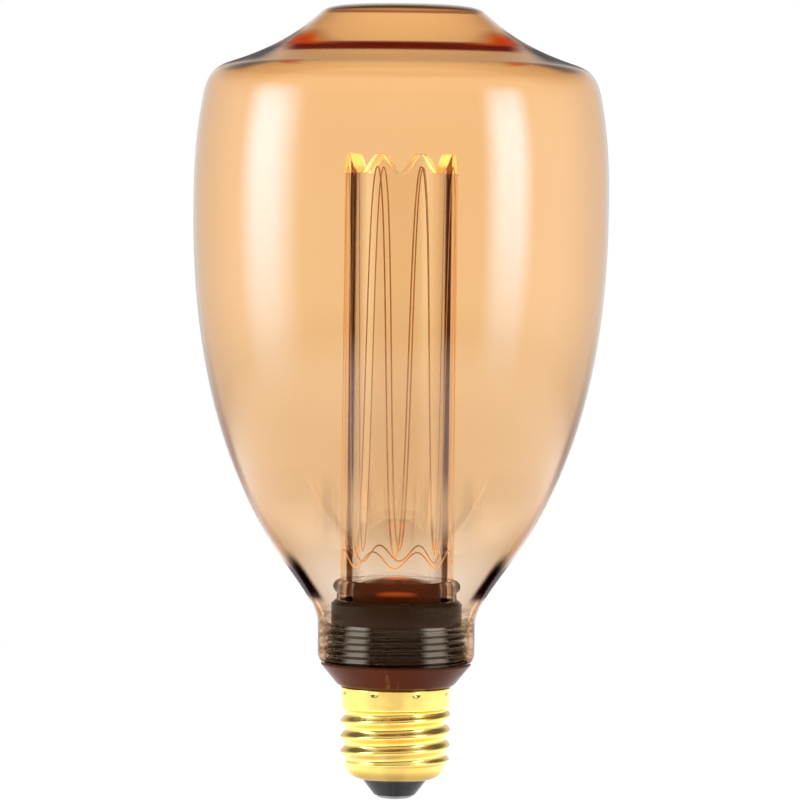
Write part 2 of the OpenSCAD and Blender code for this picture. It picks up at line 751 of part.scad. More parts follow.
module centre_contact() {
    flat_r = contact_flat_d / 2;
    edge_w = contact_d / 2 - flat_r;
    rivet_r = rivet_d / 2;
    color("silver")
    rotate_extrude()
    polygon(concat(
        [[0, 0]],
        [for (a = [0:18:90]) [flat_r + edge_w * sin(a), 0.7 * contact_h * (1 - cos(a))]],
        [[contact_d / 2, contact_h], [rivet_r, contact_h], [rivet_r, flange_top_z],
            [rivet_r + 0.7, flange_top_z], [rivet_r + 0.4, rivet_top_z], [0, rivet_top_z]]));
}

glass_envelope();
light_guide_tube();
tube_gasket();
inner_plug();
tube_collar();
base_housing();
neck_adhesive();
heat_spreader();
led_board();
led_chips();
board_screws();
driver_board();
electrolytic_capacitor();
inductor();
bridge_rectifier();
driver_ic();
fusible_resistor();
live_wire();
neutral_wire();
led_lead_positive();
led_lead_negative();
cap_shell();
cap_insulator();
centre_contact();
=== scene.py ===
"""Light guide LED bulb: amber glass over a clear acrylic tube on a brown base with a brass screw cap.

Sizes are in millimetres, measured up from the tip of the contact; the helpers turn them into metres.
"""
import logging
import math
from abc import ABC, abstractmethod
from dataclasses import dataclass
from enum import Enum
from functools import reduce
from typing import Callable, Sequence

import bmesh
import bpy
from mathutils import Matrix, Vector


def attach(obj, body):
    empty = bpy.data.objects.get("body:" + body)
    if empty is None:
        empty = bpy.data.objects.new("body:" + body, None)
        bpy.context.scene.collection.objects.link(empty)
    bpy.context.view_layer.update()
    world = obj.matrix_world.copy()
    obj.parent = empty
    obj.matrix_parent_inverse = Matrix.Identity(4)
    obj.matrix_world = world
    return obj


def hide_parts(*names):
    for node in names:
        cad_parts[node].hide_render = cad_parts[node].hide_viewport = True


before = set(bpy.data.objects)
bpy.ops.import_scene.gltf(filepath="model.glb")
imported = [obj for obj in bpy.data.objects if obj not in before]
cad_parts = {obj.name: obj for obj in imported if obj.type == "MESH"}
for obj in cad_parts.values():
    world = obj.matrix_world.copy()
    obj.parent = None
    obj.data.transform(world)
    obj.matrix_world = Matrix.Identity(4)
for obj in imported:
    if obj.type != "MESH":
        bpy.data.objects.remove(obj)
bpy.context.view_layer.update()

MM = 0.001
# Points nearer than this, in metres, are joined
SAME_PLACE = 1e-7
log = logging.getLogger("bulb")

Point2 = tuple[float, float]
Point3 = tuple[float, float, float]
Faces = list[tuple[int, ...]]
# Where a smooth step starts and where it ends
Step = tuple[float, float]
Colour = tuple[float, float, float]
Socket = bpy.types.NodeSocket

WHITE: Colour = (1.0, 1.0, 1.0)
NO_LIGHT: Colour = (0.0, 0.0, 0.0)
EVEN: Point3 = (1.0, 1.0, 1.0)


class TubeSide(Enum):
    """The sides of the light guide's wall, numbered in the order of its materials."""

    OUTSIDE = 0
    BORE = 1
    END = 2


class Ray(Enum):
    """Kinds of light ray that a material or the surroundings can tell apart."""

    CAMERA = "Is Camera Ray"
    SHADOW = "Is Shadow Ray"
    DIFFUSE = "Is Diffuse Ray"
    TRANSMISSION = "Is Transmission Ray"


# Curves and outlines


def smooth(value: float) -> float:
    """An S-shaped step from 0 to 1.

    Args:
        value: Where on the step, any number.

    Returns:
        0 below 0, 1 above 1, and a smooth rise between.
    """
    t = max(0.0, min(1.0, value))
    return t * t * (3 - 2 * t)


def mix(a: float, b: float, t: float) -> float:
    """The value that lies the share t of the way from a to b."""
    return a + (b - a) * t


def bezier(points: Sequence[Point2], u: float) -> Point2:
    """A point of a cubic curve.

    Args:
        points: The curve's four control points.
        u: How far along it, from 0 to 1.

    Returns:
        The point.
    """
    w = ((1 - u) ** 3, 3 * (1 - u) ** 2 * u, 3 * (1 - u) * u * u, u**3)
    return (sum(k * p[0] for k, p in zip(w, points)), sum(k * p[1] for k, p in zip(w, points)))


def swept_curve(
    start: Point2, leave: float, k0: float, end: Point2, arrive: float, k1: float, steps: int
) -> list[Point2]:
    """Points of a curve between two places, without its last point.

    Args:
        start: First point, as radius and height.
        leave: Heading at the start, in degrees from straight outwards.
        k0: Length of the start's handle, as a share of the chord.
        end: Last point.
        arrive: Heading at the end, in degrees.
        k1: Length of the end's handle, as a share of the chord.
        steps: Number of points.

    Returns:
        The points from start up to, but without, end.
    """
    chord = math.dist(start, end)
    a, b = math.radians(leave), math.radians(arrive)
    control = [
        start,
        (start[0] + k0 * chord * math.cos(a), start[1] + k0 * chord * math.sin(a)),
        (end[0] - k1 * chord * math.cos(b), end[1] - k1 * chord * math.sin(b)),
        end,
    ]
    return [bezier(control, i / steps) for i in range(steps)]


def rounded(corners: Sequence[Point3], steps: int = 5) -> list[Point2]:
    """A closed outline with its corners rounded off.

    Args:
        corners: Radius, height and rounding radius of each corner.
        steps: Number of arc steps at each rounded corner.

    Returns:
        The outline's points.
    """
    made: list[Point2] = []
    count = len(corners)
    for i, (x, y, r) in enumerate(corners):
        if r <= 0:
            made.append((x, y))
            continue
        here = Vector((x, y))
        before = (Vector(corners[i - 1][:2]) - here).normalized()
        after = (Vector(corners[(i + 1) % count][:2]) - here).normalized()
        half = before.angle(after) / 2
        cut = r / math.tan(half)
        start, end = here + before * cut, here + after * cut
        middle = here + (before + after).normalized() * (r / math.sin(half))
        a0, a1 = start - middle, end - middle
        turn = a0.angle_signed(a1)
        for s in range(steps + 1):
            a = -turn * s / steps
            c, q = math.cos(a), math.sin(a)
            made.append((middle.x + a0.x * c - a0.y * q, middle.y + a0.x * q + a0.y * c))
    return made


# Meshes


def show(name: str, data: bpy.types.ID) -> bpy.types.Object:
    """A new object in the scene.

    Args:
        name: Name of the object.
        data: What the object shows.

    Returns:
        The object.
    """
    made = bpy.data.objects.new(name, data)
    bpy.context.scene.collection.objects.link(made)
    return made


def piece(
    name: str,
    points: Sequence[Point3],
    faces: Sequence[Sequence[int]],
    materials: Sequence[bpy.types.Material],
    stands_for: Sequence[str] = (),
    places: Callable[[Vector, Vector], int] | None = None,
    crease: float = 40.0,
) -> None:
    """Builds a finished mesh piece that rides on the lamp.

    Args:
        name: Name of the piece.
        points: Its points in millimetres.
        faces: Its faces, as indices of points.
        materials: Its materials.
        stands_for: CAD nodes that it replaces.
        places: Gives a face's material index from its middle (in millimetres) and normal.
        crease: Edges that turn by more degrees than this are drawn sharp.
    """
    mesh = bpy.data.meshes.new(name)
    mesh.from_pydata([(x * MM, y * MM, z * MM) for x, y, z in points], [], [list(f) for f in faces])
    work = bmesh.new()
    work.from_mesh(mesh)
    bmesh.ops.remove_doubles(work, verts=work.verts, dist=SAME_PLACE)
    bmesh.ops.dissolve_degenerate(work, dist=SAME_PLACE / 10, edges=work.edges)
    bmesh.ops.recalc_face_normals(work, faces=work.faces)
    for material in materials:
        mesh.materials.append(material)
    for face in work.faces:
        face.smooth = True
        if places is not None:
            face.material_index = places(face.calc_center_median() / MM, face.normal)
    work.to_mesh(mesh)
    work.free()
    mesh.set_sharp_from_angle(angle=math.radians(crease))
    made = show(name, mesh)
    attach(made, "root")
    if stands_for:
        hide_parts(*stands_for)
    log.info("%s: %d faces, stands for %s", name, len(mesh.polygons), ", ".join(stands_for) or "no node")


def grid_faces(rows: int, columns: int, wrap_rows: bool) -> Faces:
    """Four-sided faces over rows of points, each row closed on itself.

    Args:
        rows: Number of rows.
        columns: Points in a row.
        wrap_rows: Whether the last row joins the first.

    Returns:
        The faces.
    """
    made = []
    for i in range(rows if wrap_rows else rows - 1):
        a, b = i * columns, (i + 1) % rows * columns
        for j in range(columns):
            k = (j + 1) % columns
            made.append((a + j, a + k, b + k, b + j))
    return made


def steps_round(columns: int) -> list[float]:
    """Angles in radians of even steps round the axis."""
    return [2 * math.pi * j / columns for j in range(columns)]


def spot(r: float, a: float, z: float) -> Point3:
    """The point at a radius, an angle in radians and a height."""
    return (r * math.cos(a), r * math.sin(a), z)


def turned(outline: Sequence[Point2], columns: int, closed: bool = True) -> tuple[list[Point3], Faces]:
    """Points and faces of an outline that is turned about the lamp's axis.

    Args:
        outline: Radius and height of each point.
        columns: Number of steps round the axis.
        closed: Whether the outline joins its own start.

    Returns:
        The points and the faces.
    """
    angles = steps_round(columns)
    return [spot(r, a, z) for r, z in outline for a in angles], grid_faces(len(outline), columns, closed)


def lofted(rings: Sequence[Sequence[Point3]]) -> tuple[list[Point3], Faces]:
    """Points and faces of a closed skin over rings that have the same number of points."""
    return [p for ring in rings for p in ring], grid_faces(len(rings), len(rings[0]), True)


def bar(
    path: Sequence[Vector], out: Sequence[Vector], section: Sequence[Point2]
) -> tuple[list[Point3], Faces]:
    """A closed bar that runs along a closed path with the same section all the way.

    Args:
        path: Points of the path.
        out: The outward direction at each point.
        section: The section's points, as distance across the path and distance outwards.

    Returns:
        The points and the faces.
    """
    rings = []
    count = len(path)
    for i, middle in enumerate(path):
        along = (path[(i + 1) % count] - path[i - 1]).normalized()
        side = out[i].cross(along).normalized()
        rings.append([tuple(middle + side * x + out[i] * y) for x, y in section])
    return lofted(rings)


# Node trees


class Board:
    """A node tree, with short ways to add nodes and join them."""

    def __init__(self, tree: bpy.types.NodeTree) -> None:
        """Works on the given tree."""
        self.tree = tree

    def add(self, kind: str, **settings: object) -> bpy.types.Node:
        """A new node.

        Args:
            kind: The node's type name, without ShaderNode.
            **settings: Properties to set on it.

        Returns:
            The node.
        """
        node = self.tree.nodes.new("ShaderNode" + kind)
        for name, value in settings.items():
            setattr(node, name, value)
        return node

    def feed(self, socket: Socket, value: object) -> None:
        """Joins another socket to an input, or sets the input's own value.

        Args:
            socket: The input.
            value: A socket, or a value that suits the input.
        """
        if isinstance(value, bpy.types.NodeSocket):
            self.tree.links.new(value, socket)
        elif isinstance(value, tuple) and len(value) == 3 and socket.type == "RGBA":
            socket.default_value = (*value, 1.0)
        else:
            socket.default_value = value

    def fill(self, node: bpy.types.Node, values: dict[str, object]) -> None:
        """Feeds several inputs of a node by their names."""
        for name, value in values.items():
            self.feed(node.inputs[name], value)

    def math(self, operation: str, a: object, b: object = 0.0, clamp: bool = False) -> Socket:
        """The result of a Math node.

        Args:
            operation: The node's operation.
            a: First value or socket.
            b: Second value or socket.
            clamp: Whether the result stays from 0 to 1.

        Returns:
            The output socket.
        """
        node = self.add("Math", operation=operation, use_clamp=clamp)
        self.feed(node.inputs[0], a)
        self.feed(node.inputs[1], b)
        return node.outputs[0]

    def times(self, first: Socket, *others: object) -> Socket:
        """The product of all the values."""
        return reduce(lambda a, b: self.math("MULTIPLY", a, b), others, first)

    def most(self, first: Socket, *others: object) -> Socket:
        """The greatest of all the values."""
        return reduce(lambda a, b: self.math("MAXIMUM", a, b), others, first)

    def rest(self, share: Socket) -> Socket:
        """What is left of 1 after a share."""
        return self.math("SUBTRACT", 1.0, share)

    def span(
        self, value: object, low: object, high: object, to_low: object = 0.0, to_high: object = 1.0
    ) -> Socket:
        """Maps a value smoothly from one range to another.

        Args:
            value: The value or socket.
            low: Where the step starts.
            high: Where it ends.
            to_low: Result at the start.
            to_high: Result at the end.

        Returns:
            The output socket.
        """
        node = self.add("MapRange", interpolation_type="SMOOTHSTEP")
        for i, v in enumerate((value, low, high, to_low, to_high)):
            self.feed(node.inputs[i], v)
        return node.outputs[0]

    def fall(self, value: object, low: object, high: object) -> Socket:
        """A smooth step down from 1 to 0."""
        return self.span(value, low, high, 1.0, 0.0)

    def blend(self, share: object, a: object, b: object, how: str = "MIX") -> Socket:
        """A mix of two colours.

        Args:
            share: How much of b there is.
            a: First colour or socket.
            b: Second colour or socket.
            how: The node's blend type.

        Returns:
            The output socket.
        """
        node = self.add("Mix", data_type="RGBA", blend_type=how)
        self.feed(node.inputs[0], share)
        self.feed(node.inputs[6], a)
        self.feed(node.inputs[7], b)
        return node.outputs[2]

    def noise(self, scale: object, detail: float = 3.0, stretch: Point3 = EVEN) -> Socket:
        """Noise over the lamp's own space.

        Args:
            scale: Size of the noise, in waves to the metre.
            detail: Number of finer layers.
            stretch: How much faster it changes along each axis.

        Returns:
            The noise's value.
        """
        place = self.place()
        if stretch != EVEN:
            mapping = self.add("Mapping")
            self.fill(mapping, {"Vector": place, "Scale": stretch})
            place = mapping.outputs[0]
        node = self.add("TexNoise")
        self.fill(node, {"Vector": place, "Scale": scale, "Detail": detail})
        return node.outputs[0]

    def place(self) -> Socket:
        """The place of a point in the lamp's own space, in metres."""
        return self.add("TexCoord").outputs["Object"]

    def axes(self, vector: Socket) -> Sequence[Socket]:
        """The three parts of a vector.

        Args:
            vector: The vector.

        Returns:
            Sockets of the parts, in the order X, Y and Z.
        """
        split = self.add("SeparateXYZ")
        self.feed(split.inputs[0], vector)
        return split.outputs

    def height(self) -> Socket:
        """The height above the contact, in millimetres."""
        return self.times(self.axes(self.place())[2], 1 / MM)

    def radius(self) -> Socket:
        """The distance from the lamp's axis, in millimetres."""
        return self.times(self.length(*self.axes(self.place())[:2]), 1 / MM)

    def length(self, x: Socket, y: Socket) -> Socket:
        """The length of a level vector."""
        return self.math("SQRT", self.math("ADD", self.times(x, x), self.times(y, y)))

    def facing(self) -> Socket:
        """How far the surface turns away from the viewer: 0 straight on, 1 edge on."""
        return self.add("LayerWeight").outputs["Facing"]

    def front(self) -> Socket:
        """1 on the outer side of a face and 0 on its inner side."""
        return self.rest(self.add("NewGeometry").outputs["Backfacing"])

    def clear(self, colour: Colour | Socket = WHITE) -> Socket:
        """A shader that lets light straight through in a tint.

        Args:
            colour: The light's tint.

        Returns:
            The shader's socket.
        """
        node = self.add("BsdfTransparent")
        self.feed(node.inputs[0], colour)
        return node.outputs[0]

    def shine(self, strength: object, colour: Colour = WHITE) -> Socket:
        """A shader that gives light.

        Args:
            strength: How much light it gives.
            colour: The light's tint.

        Returns:
            The shader's socket.
        """
        node = self.add("Emission")
        self.fill(node, {"Color": colour, "Strength": strength})
        return node.outputs[0]

    def join(self, share: Socket, a: Socket, b: Socket) -> Socket:
        """A shader that is b by the given share, and otherwise a.

        Args:
            share: How much of b there is.
            a: The shader at share 0.
            b: The shader at share 1.

        Returns:
            The shader's socket.
        """
        node = self.add("MixShader")
        for i, v in enumerate((share, a, b)):
            self.feed(node.inputs[i], v)
        return node.outputs[0]


class Effect(ABC):
    """An effect that several materials share, kept as one node group."""

    name: str
    inputs: dict[str, float]
    outputs: Sequence[str]

    @abstractmethod
    def fill(self, board: Board, given: dict[str, Socket]) -> dict[str, Socket]:
        """Builds the group's nodes and gives the socket of each output."""

    def place(self, board: Board, **values: object) -> dict[str, Socket]:
        """Places the effect in a material.

        Args:
            board: The material's tree.
            **values: Values or sockets for the group's inputs.

        Returns:
            The output sockets by name.
        """
        tree = bpy.data.node_groups.get(self.name) or self.build()
        node = board.add("Group", node_tree=tree)
        board.fill(node, values)
        return {name: node.outputs[name] for name in self.outputs}

    def build(self) -> bpy.types.NodeTree:
        """Builds the group with its named sockets.

        Returns:
            The group's tree.
        """
        tree = bpy.data.node_groups.new(self.name, "ShaderNodeTree")
        for name, value in self.inputs.items():
            socket = tree.interface.new_socket(name=name, in_out="INPUT", socket_type="NodeSocketFloat")
            socket.default_value = value
        for name in self.outputs:
            tree.interface.new_socket(name=name, in_out="OUTPUT", socket_type="NodeSocketFloat")
        board = Board(tree)
        entry, leave = tree.nodes.new("NodeGroupInput"), tree.nodes.new("NodeGroupOutput")
        board.fill(leave, self.fill(board, {n: entry.outputs[n] for n in self.inputs}))
        return tree


class UnevenTone(Effect):
    """Soft patches that vary a colour or a gloss."""

    name = "uneven_tone"
    inputs = {"Scale": 60.0, "Low": 0.0, "High": 1.0}
    outputs = ("Value",)
    patch_step: Step = (0.3, 0.7)

    def fill(self, board: Board, given: dict[str, Socket]) -> dict[str, Socket]:
        """Noise that is spread over the range from Low to High."""
        noise = board.noise(given["Scale"], detail=4.0)
        return {"Value": board.span(noise, *self.patch_step, given["Low"], given["High"])}


class Smudges(Effect):
    """Sparse dull marks, as handling leaves them."""

    name = "smudges"
    inputs = {"Scale": 45.0, "Cover": 0.5}
    outputs = ("Mask",)
    finer = 9.0
    bare_edge = 0.82
    cover_gain = 0.5
    edge_width = 0.16
    fine_step: Step = (0.35, 0.65)
    fine_low = 0.4

    def fill(self, board: Board, given: dict[str, Socket]) -> dict[str, Socket]:
        """Coarse patches, broken up by finer ones.

        Args:
            board: The group's tree.
            given: The group's input sockets, by name.

        Returns:
            The group's output sockets, by name.
        """
        coarse = board.noise(given["Scale"], detail=2.0)
        fine = board.noise(board.times(given["Scale"], self.finer), detail=5.0)
        edge = board.math("SUBTRACT", self.bare_edge, board.times(given["Cover"], self.cover_gain))
        patch = board.span(coarse, edge, board.math("ADD", edge, self.edge_width))
        broken = board.span(fine, *self.fine_step, self.fine_low, 1.0)
        return {"Mask": board.math("MULTIPLY", patch, broken, clamp=True)}


class TurnedRings(Effect):
    """Fine rings that a lathe or a roller leaves round the axis."""

    name = "turned_rings"
    inputs = {"Rings": 3.0, "Scale": 400.0}
    outputs = ("Height",)
    wave_share = 0.25
    streak_stretch: Point3 = (0.02, 0.02, 1.0)

    def fill(self, board: Board, given: dict[str, Socket]) -> dict[str, Socket]:
        """Regular rings with streaks of noise over them.

        Args:
            board: The group's tree.
            given: The group's input sockets, by name.

        Returns:
            The group's output sockets, by name.
        """
        run = board.math("ADD", board.height(), board.radius())
        wave = board.math("SINE", board.times(run, given["Rings"], math.tau))
        streak = board.noise(given["Scale"], detail=4.0, stretch=self.streak_stretch)
        return {"Height": board.math("ADD", board.times(wave, self.wave_share), streak)}


class MouldedGrain(Effect):
    """The faint orange peel and flow marks of a moulding."""

    name = "moulded_grain"
    inputs = {"Scale": 900.0}
    outputs = ("Height", "Shade")
    flow_share = 0.06
    flow_stretch: Point3 = (1.0, 1.0, 0.35)
    flow_step: Step = (0.35, 0.68)

    def fill(self, board: Board, given: dict[str, Socket]) -> dict[str, Socket]:
        """Fine peel for the height and slow flow marks for the shade.

        Args:
            board: The group's tree.
            given: The group's input sockets, by name.

        Returns:
            The group's output sockets, by name.
        """
        peel = board.noise(given["Scale"], detail=2.0)
        coarse = board.times(given["Scale"], self.flow_share)
        flow = board.noise(coarse, detail=4.0, stretch=self.flow_stretch)
        return {"Height": peel, "Shade": board.span(flow, *self.flow_step)}


class HeightBand(Effect):
    """A mask that rises from one height to another."""

    name = "height_band"
    inputs = {"Low": 0.0, "High": 10.0}
    outputs = ("Mask",)

    def fill(self, board: Board, given: dict[str, Socket]) -> dict[str, Socket]:
        """A smooth step over the height."""
        return {"Mask": board.span(board.height(), given["Low"], given["High"])}


class WornEdges(Effect):
    """A mask of the raised edges, broken up by noise."""

    name = "worn_edges"
    inputs = {"Low": 0.52, "High": 0.6}
    outputs = ("Mask",)
    wear_scale = 700.0
    wear_step: Step = (0.3, 0.6)

    def fill(self, board: Board, given: dict[str, Socket]) -> dict[str, Socket]:
        """How pointed the surface is, times noise.

        Args:
            board: The group's tree.
            given: The group's input sockets, by name.

        Returns:
            The group's output sockets, by name.
        """
        pointed = board.add("NewGeometry").outputs["Pointiness"]
        edge = board.span(pointed, given["Low"], given["High"])
        wear = board.span(board.noise(self.wear_scale), *self.wear_step)
        return {"Mask": board.math("MULTIPLY", edge, wear, clamp=True)}


class RoomLight(Effect):
    """How bright the studio is in a direction, as mirrors see it."""

    name = "room_light"
    inputs = {"X": 0.0, "Y": 1.0, "Z": 0.0}
    outputs = ("Value",)
    front_step: Step = (-0.8, -0.1)
    front_light = 0.08
    back_step: Step = (0.1, 0.7)
    back_light = 0.8
    rise_step: Step = (0.2, 0.55)
    ceiling_step: Step = (-0.2, 0.3)
    ceiling_front = 0.8
    ceiling_back = 0.15

    def fill(self, board: Board, given: dict[str, Socket]) -> dict[str, Socket]:
        """Dims towards the front at eye level, and towards the back above it.

        Args:
            board: The group's tree.
            given: The group's input sockets, by name.

        Returns:
            The group's output sockets, by name.
        """
        level = board.length(given["X"], given["Y"])
        ahead = board.math("DIVIDE", given["Y"], board.most(level, 0.001))
        sides = board.span(ahead, *self.front_step, self.front_light, 1.0)
        walls = board.times(sides, board.span(ahead, *self.back_step, 1.0, self.back_light))
        above = board.span(given["Z"], *self.rise_step)
        roof = board.span(ahead, *self.ceiling_step, self.ceiling_front, self.ceiling_back)
        return {"Value": board.math("ADD", board.times(walls, board.rest(above)), board.times(above, roof))}


def height_mask(board: Board, low: float, high: float) -> Socket:
    """A mask that rises from one height in millimetres to another."""
    return HeightBand().place(board, Low=low, High=high)["Mask"]


@dataclass(frozen=True)
class Zone:
    """Where a tint shows: a stretch of heights, and how far the surface turns away there.

    The heights are in millimetres, and turns are as Board.facing gives them.
    """

    rise: Step
    fall: Step
    turn_from: Step | None = None
    turn_to: Step | None = None
    share: float = 1.0

    def mask(self, board: Board) -> Socket:
        """The zone's mask.

        Args:
            board: The material's tree.

        Returns:
            The mask.
        """
        made = board.times(height_mask(board, *self.rise), board.rest(height_mask(board, *self.fall)))
        if self.turn_from is not None:
            made = board.times(made, board.span(board.facing(), *self.turn_from))
        if self.turn_to is not None:
            made = board.times(made, board.fall(board.facing(), *self.turn_to))
        return made if self.share == 1.0 else board.times(made, self.share)


# Finishes


class Finish(ABC):
    """A material of the lamp."""

    name: str

    @abstractmethod
    def shade(self, board: Board, skin: bpy.types.Node) -> None:
        """Sets up the skin, which is the material's Principled shader."""

    def surface(self, board: Board, skin: bpy.types.Node) -> Socket:
        """The shader that goes to the output, which is the skin itself unless a finish adds to it."""
        return skin.outputs[0]

    def volume(self, board: Board) -> Socket | None:
        """The volume shader, which most finishes go without."""
        return None

    def material(self) -> bpy.types.Material:
        """Builds the material, or gives the one that was built before.

        Returns:
            The material.
        """
        title = f"{self.name}_finish"
        found = bpy.data.materials.get(title)
        if found is not None:
            return found
        made = bpy.data.materials.new(title)
        board = bare_board(made)
        skin = board.add("BsdfPrincipled")
        self.shade(board, skin)
        out = board.add("OutputMaterial")
        board.feed(out.inputs["Surface"], self.surface(board, skin))
        depth = self.volume(board)
        if depth is not None:
            board.feed(out.inputs["Volume"], depth)
        return made


def bare_board(owner: bpy.types.Material | bpy.types.World) -> Board:
    """The emptied node tree of a material or world.

    Args:
        owner: The material or world.

    Returns:
        Its board.
    """
    owner.use_nodes = True
    owner.node_tree.nodes.clear()
    return Board(owner.node_tree)


def bump(board: Board, skin: bpy.types.Node, height: Socket, strength: float, distance: float) -> None:
    """Adds a Bump node to a shader's normal.

    Args:
        board: The material's tree.
        skin: The shader.
        height: The height to show.
        strength: The node's strength.
        distance: The height's full rise, in millimetres.
    """
    node = board.add("Bump")
    board.fill(node, {"Strength": strength, "Distance": distance * MM, "Height": height})
    board.feed(skin.inputs["Normal"], node.outputs[0])


@dataclass(frozen=True)
class ClearBody(Finish):
    """Anything that light passes through, with lamps let through to what is inside.

    A ray that has crossed more surfaces than far_from meets only a plain tint, and most of the surface
    below calm_below is only a tint too.
    """

    name: str
    tint: Colour
    ior: float
    roughness: float
    ripple: float = 0.0
    ripple_scale: float = 25.0
    ripple_stretch: Point3 = (1.0, 1.0, 0.6)
    smudge_gain: float = 0.012
    shadow_tint: Colour = WHITE
    far_from: float = 99.0
    calm_below: float = 0.0
    calm_ease: float = 8.0
    calm_share: float = 0.85
    depth_tint: Colour = (0.5, 0.5, 0.5)
    density: float = 0.0

    def colour(self, board: Board) -> object:
        """The tint of light that passes, which a finish may vary."""
        return self.tint

    def shade(self, board: Board, skin: bpy.types.Node) -> None:
        """A transmitting shader with a rippled surface.

        Args:
            board: The material's tree.
            skin: The material's Principled shader.
        """
        smudge = Smudges().place(board, Scale=30.0, Cover=0.4)["Mask"]
        board.fill(skin, {
            "Base Color": self.colour(board),
            "Roughness": board.span(smudge, 0.0, 1.0, self.roughness, self.roughness + self.smudge_gain),
            "IOR": self.ior,
            "Transmission Weight": 1.0,
        })
        if self.ripple > 0:
            waves = board.noise(self.ripple_scale, detail=1.0, stretch=self.ripple_stretch)
            bump(board, skin, waves, strength=1.0, distance=self.ripple)

    def surface(self, board: Board, skin: bpy.types.Node) -> Socket:
        """The skin, with plain tinted see-through for rays from lamps and from dull surfaces.

        Args:
            board: The material's tree.
            skin: The material's Principled shader.

        Returns:
            The shader's socket.
        """
        rays = board.add("LightPath").outputs
        pass_by = board.most(rays[Ray.SHADOW.value], rays[Ray.DIFFUSE.value])
        return board.join(pass_by, self.far_side(board, skin), board.clear(self.shadow_tint))

    def crossed(self, board: Board) -> Socket:
        """How many surfaces the ray has passed, bent or straight on."""
        rays = board.add("LightPath").outputs
        return board.math("ADD", rays["Transmission Depth"], rays["Transparent Depth"])

    def plain_share(self, board: Board) -> Socket:
        """How much of the surface is only a tint.

        Args:
            board: The material's tree.

        Returns:
            The share, from 0 to 1.
        """
        far = board.math("GREATER_THAN", self.crossed(board), self.far_from)
        if self.calm_below <= 0:
            return far
        high = height_mask(board, self.calm_below, self.calm_below + self.calm_ease)
        return board.most(far, board.times(board.rest(high), self.calm_share))

    def volume(self, board: Board) -> Socket | None:
        """What the body takes from light on its way.

        Args:
            board: The material's tree.

        Returns:
            The volume shader, or None.
        """
        if self.density <= 0:
            return None
        inside = board.add("VolumeAbsorption")
        board.fill(inside, {"Color": self.depth_tint, "Density": self.density})
        return inside.outputs[0]

    def far_side(self, board: Board, skin: bpy.types.Node) -> Socket:
        """The skin, with a plain tint where the ray has crossed enough, or where the surface is calm.

        Light crosses both faces of the wall, so each face takes the square root of the tint.

        Args:
            board: The material's tree.
            skin: The material's Principled shader.

        Returns:
            The shader's socket.
        """
        tint = skin.inputs["Base Color"]
        root = board.add("Gamma")
        board.feed(root.inputs[0], tint.links[0].from_socket if tint.links else self.tint)
        root.inputs[1].default_value = 0.5
        return board.join(self.plain_share(board), skin.outputs[0], board.clear(root.outputs[0]))


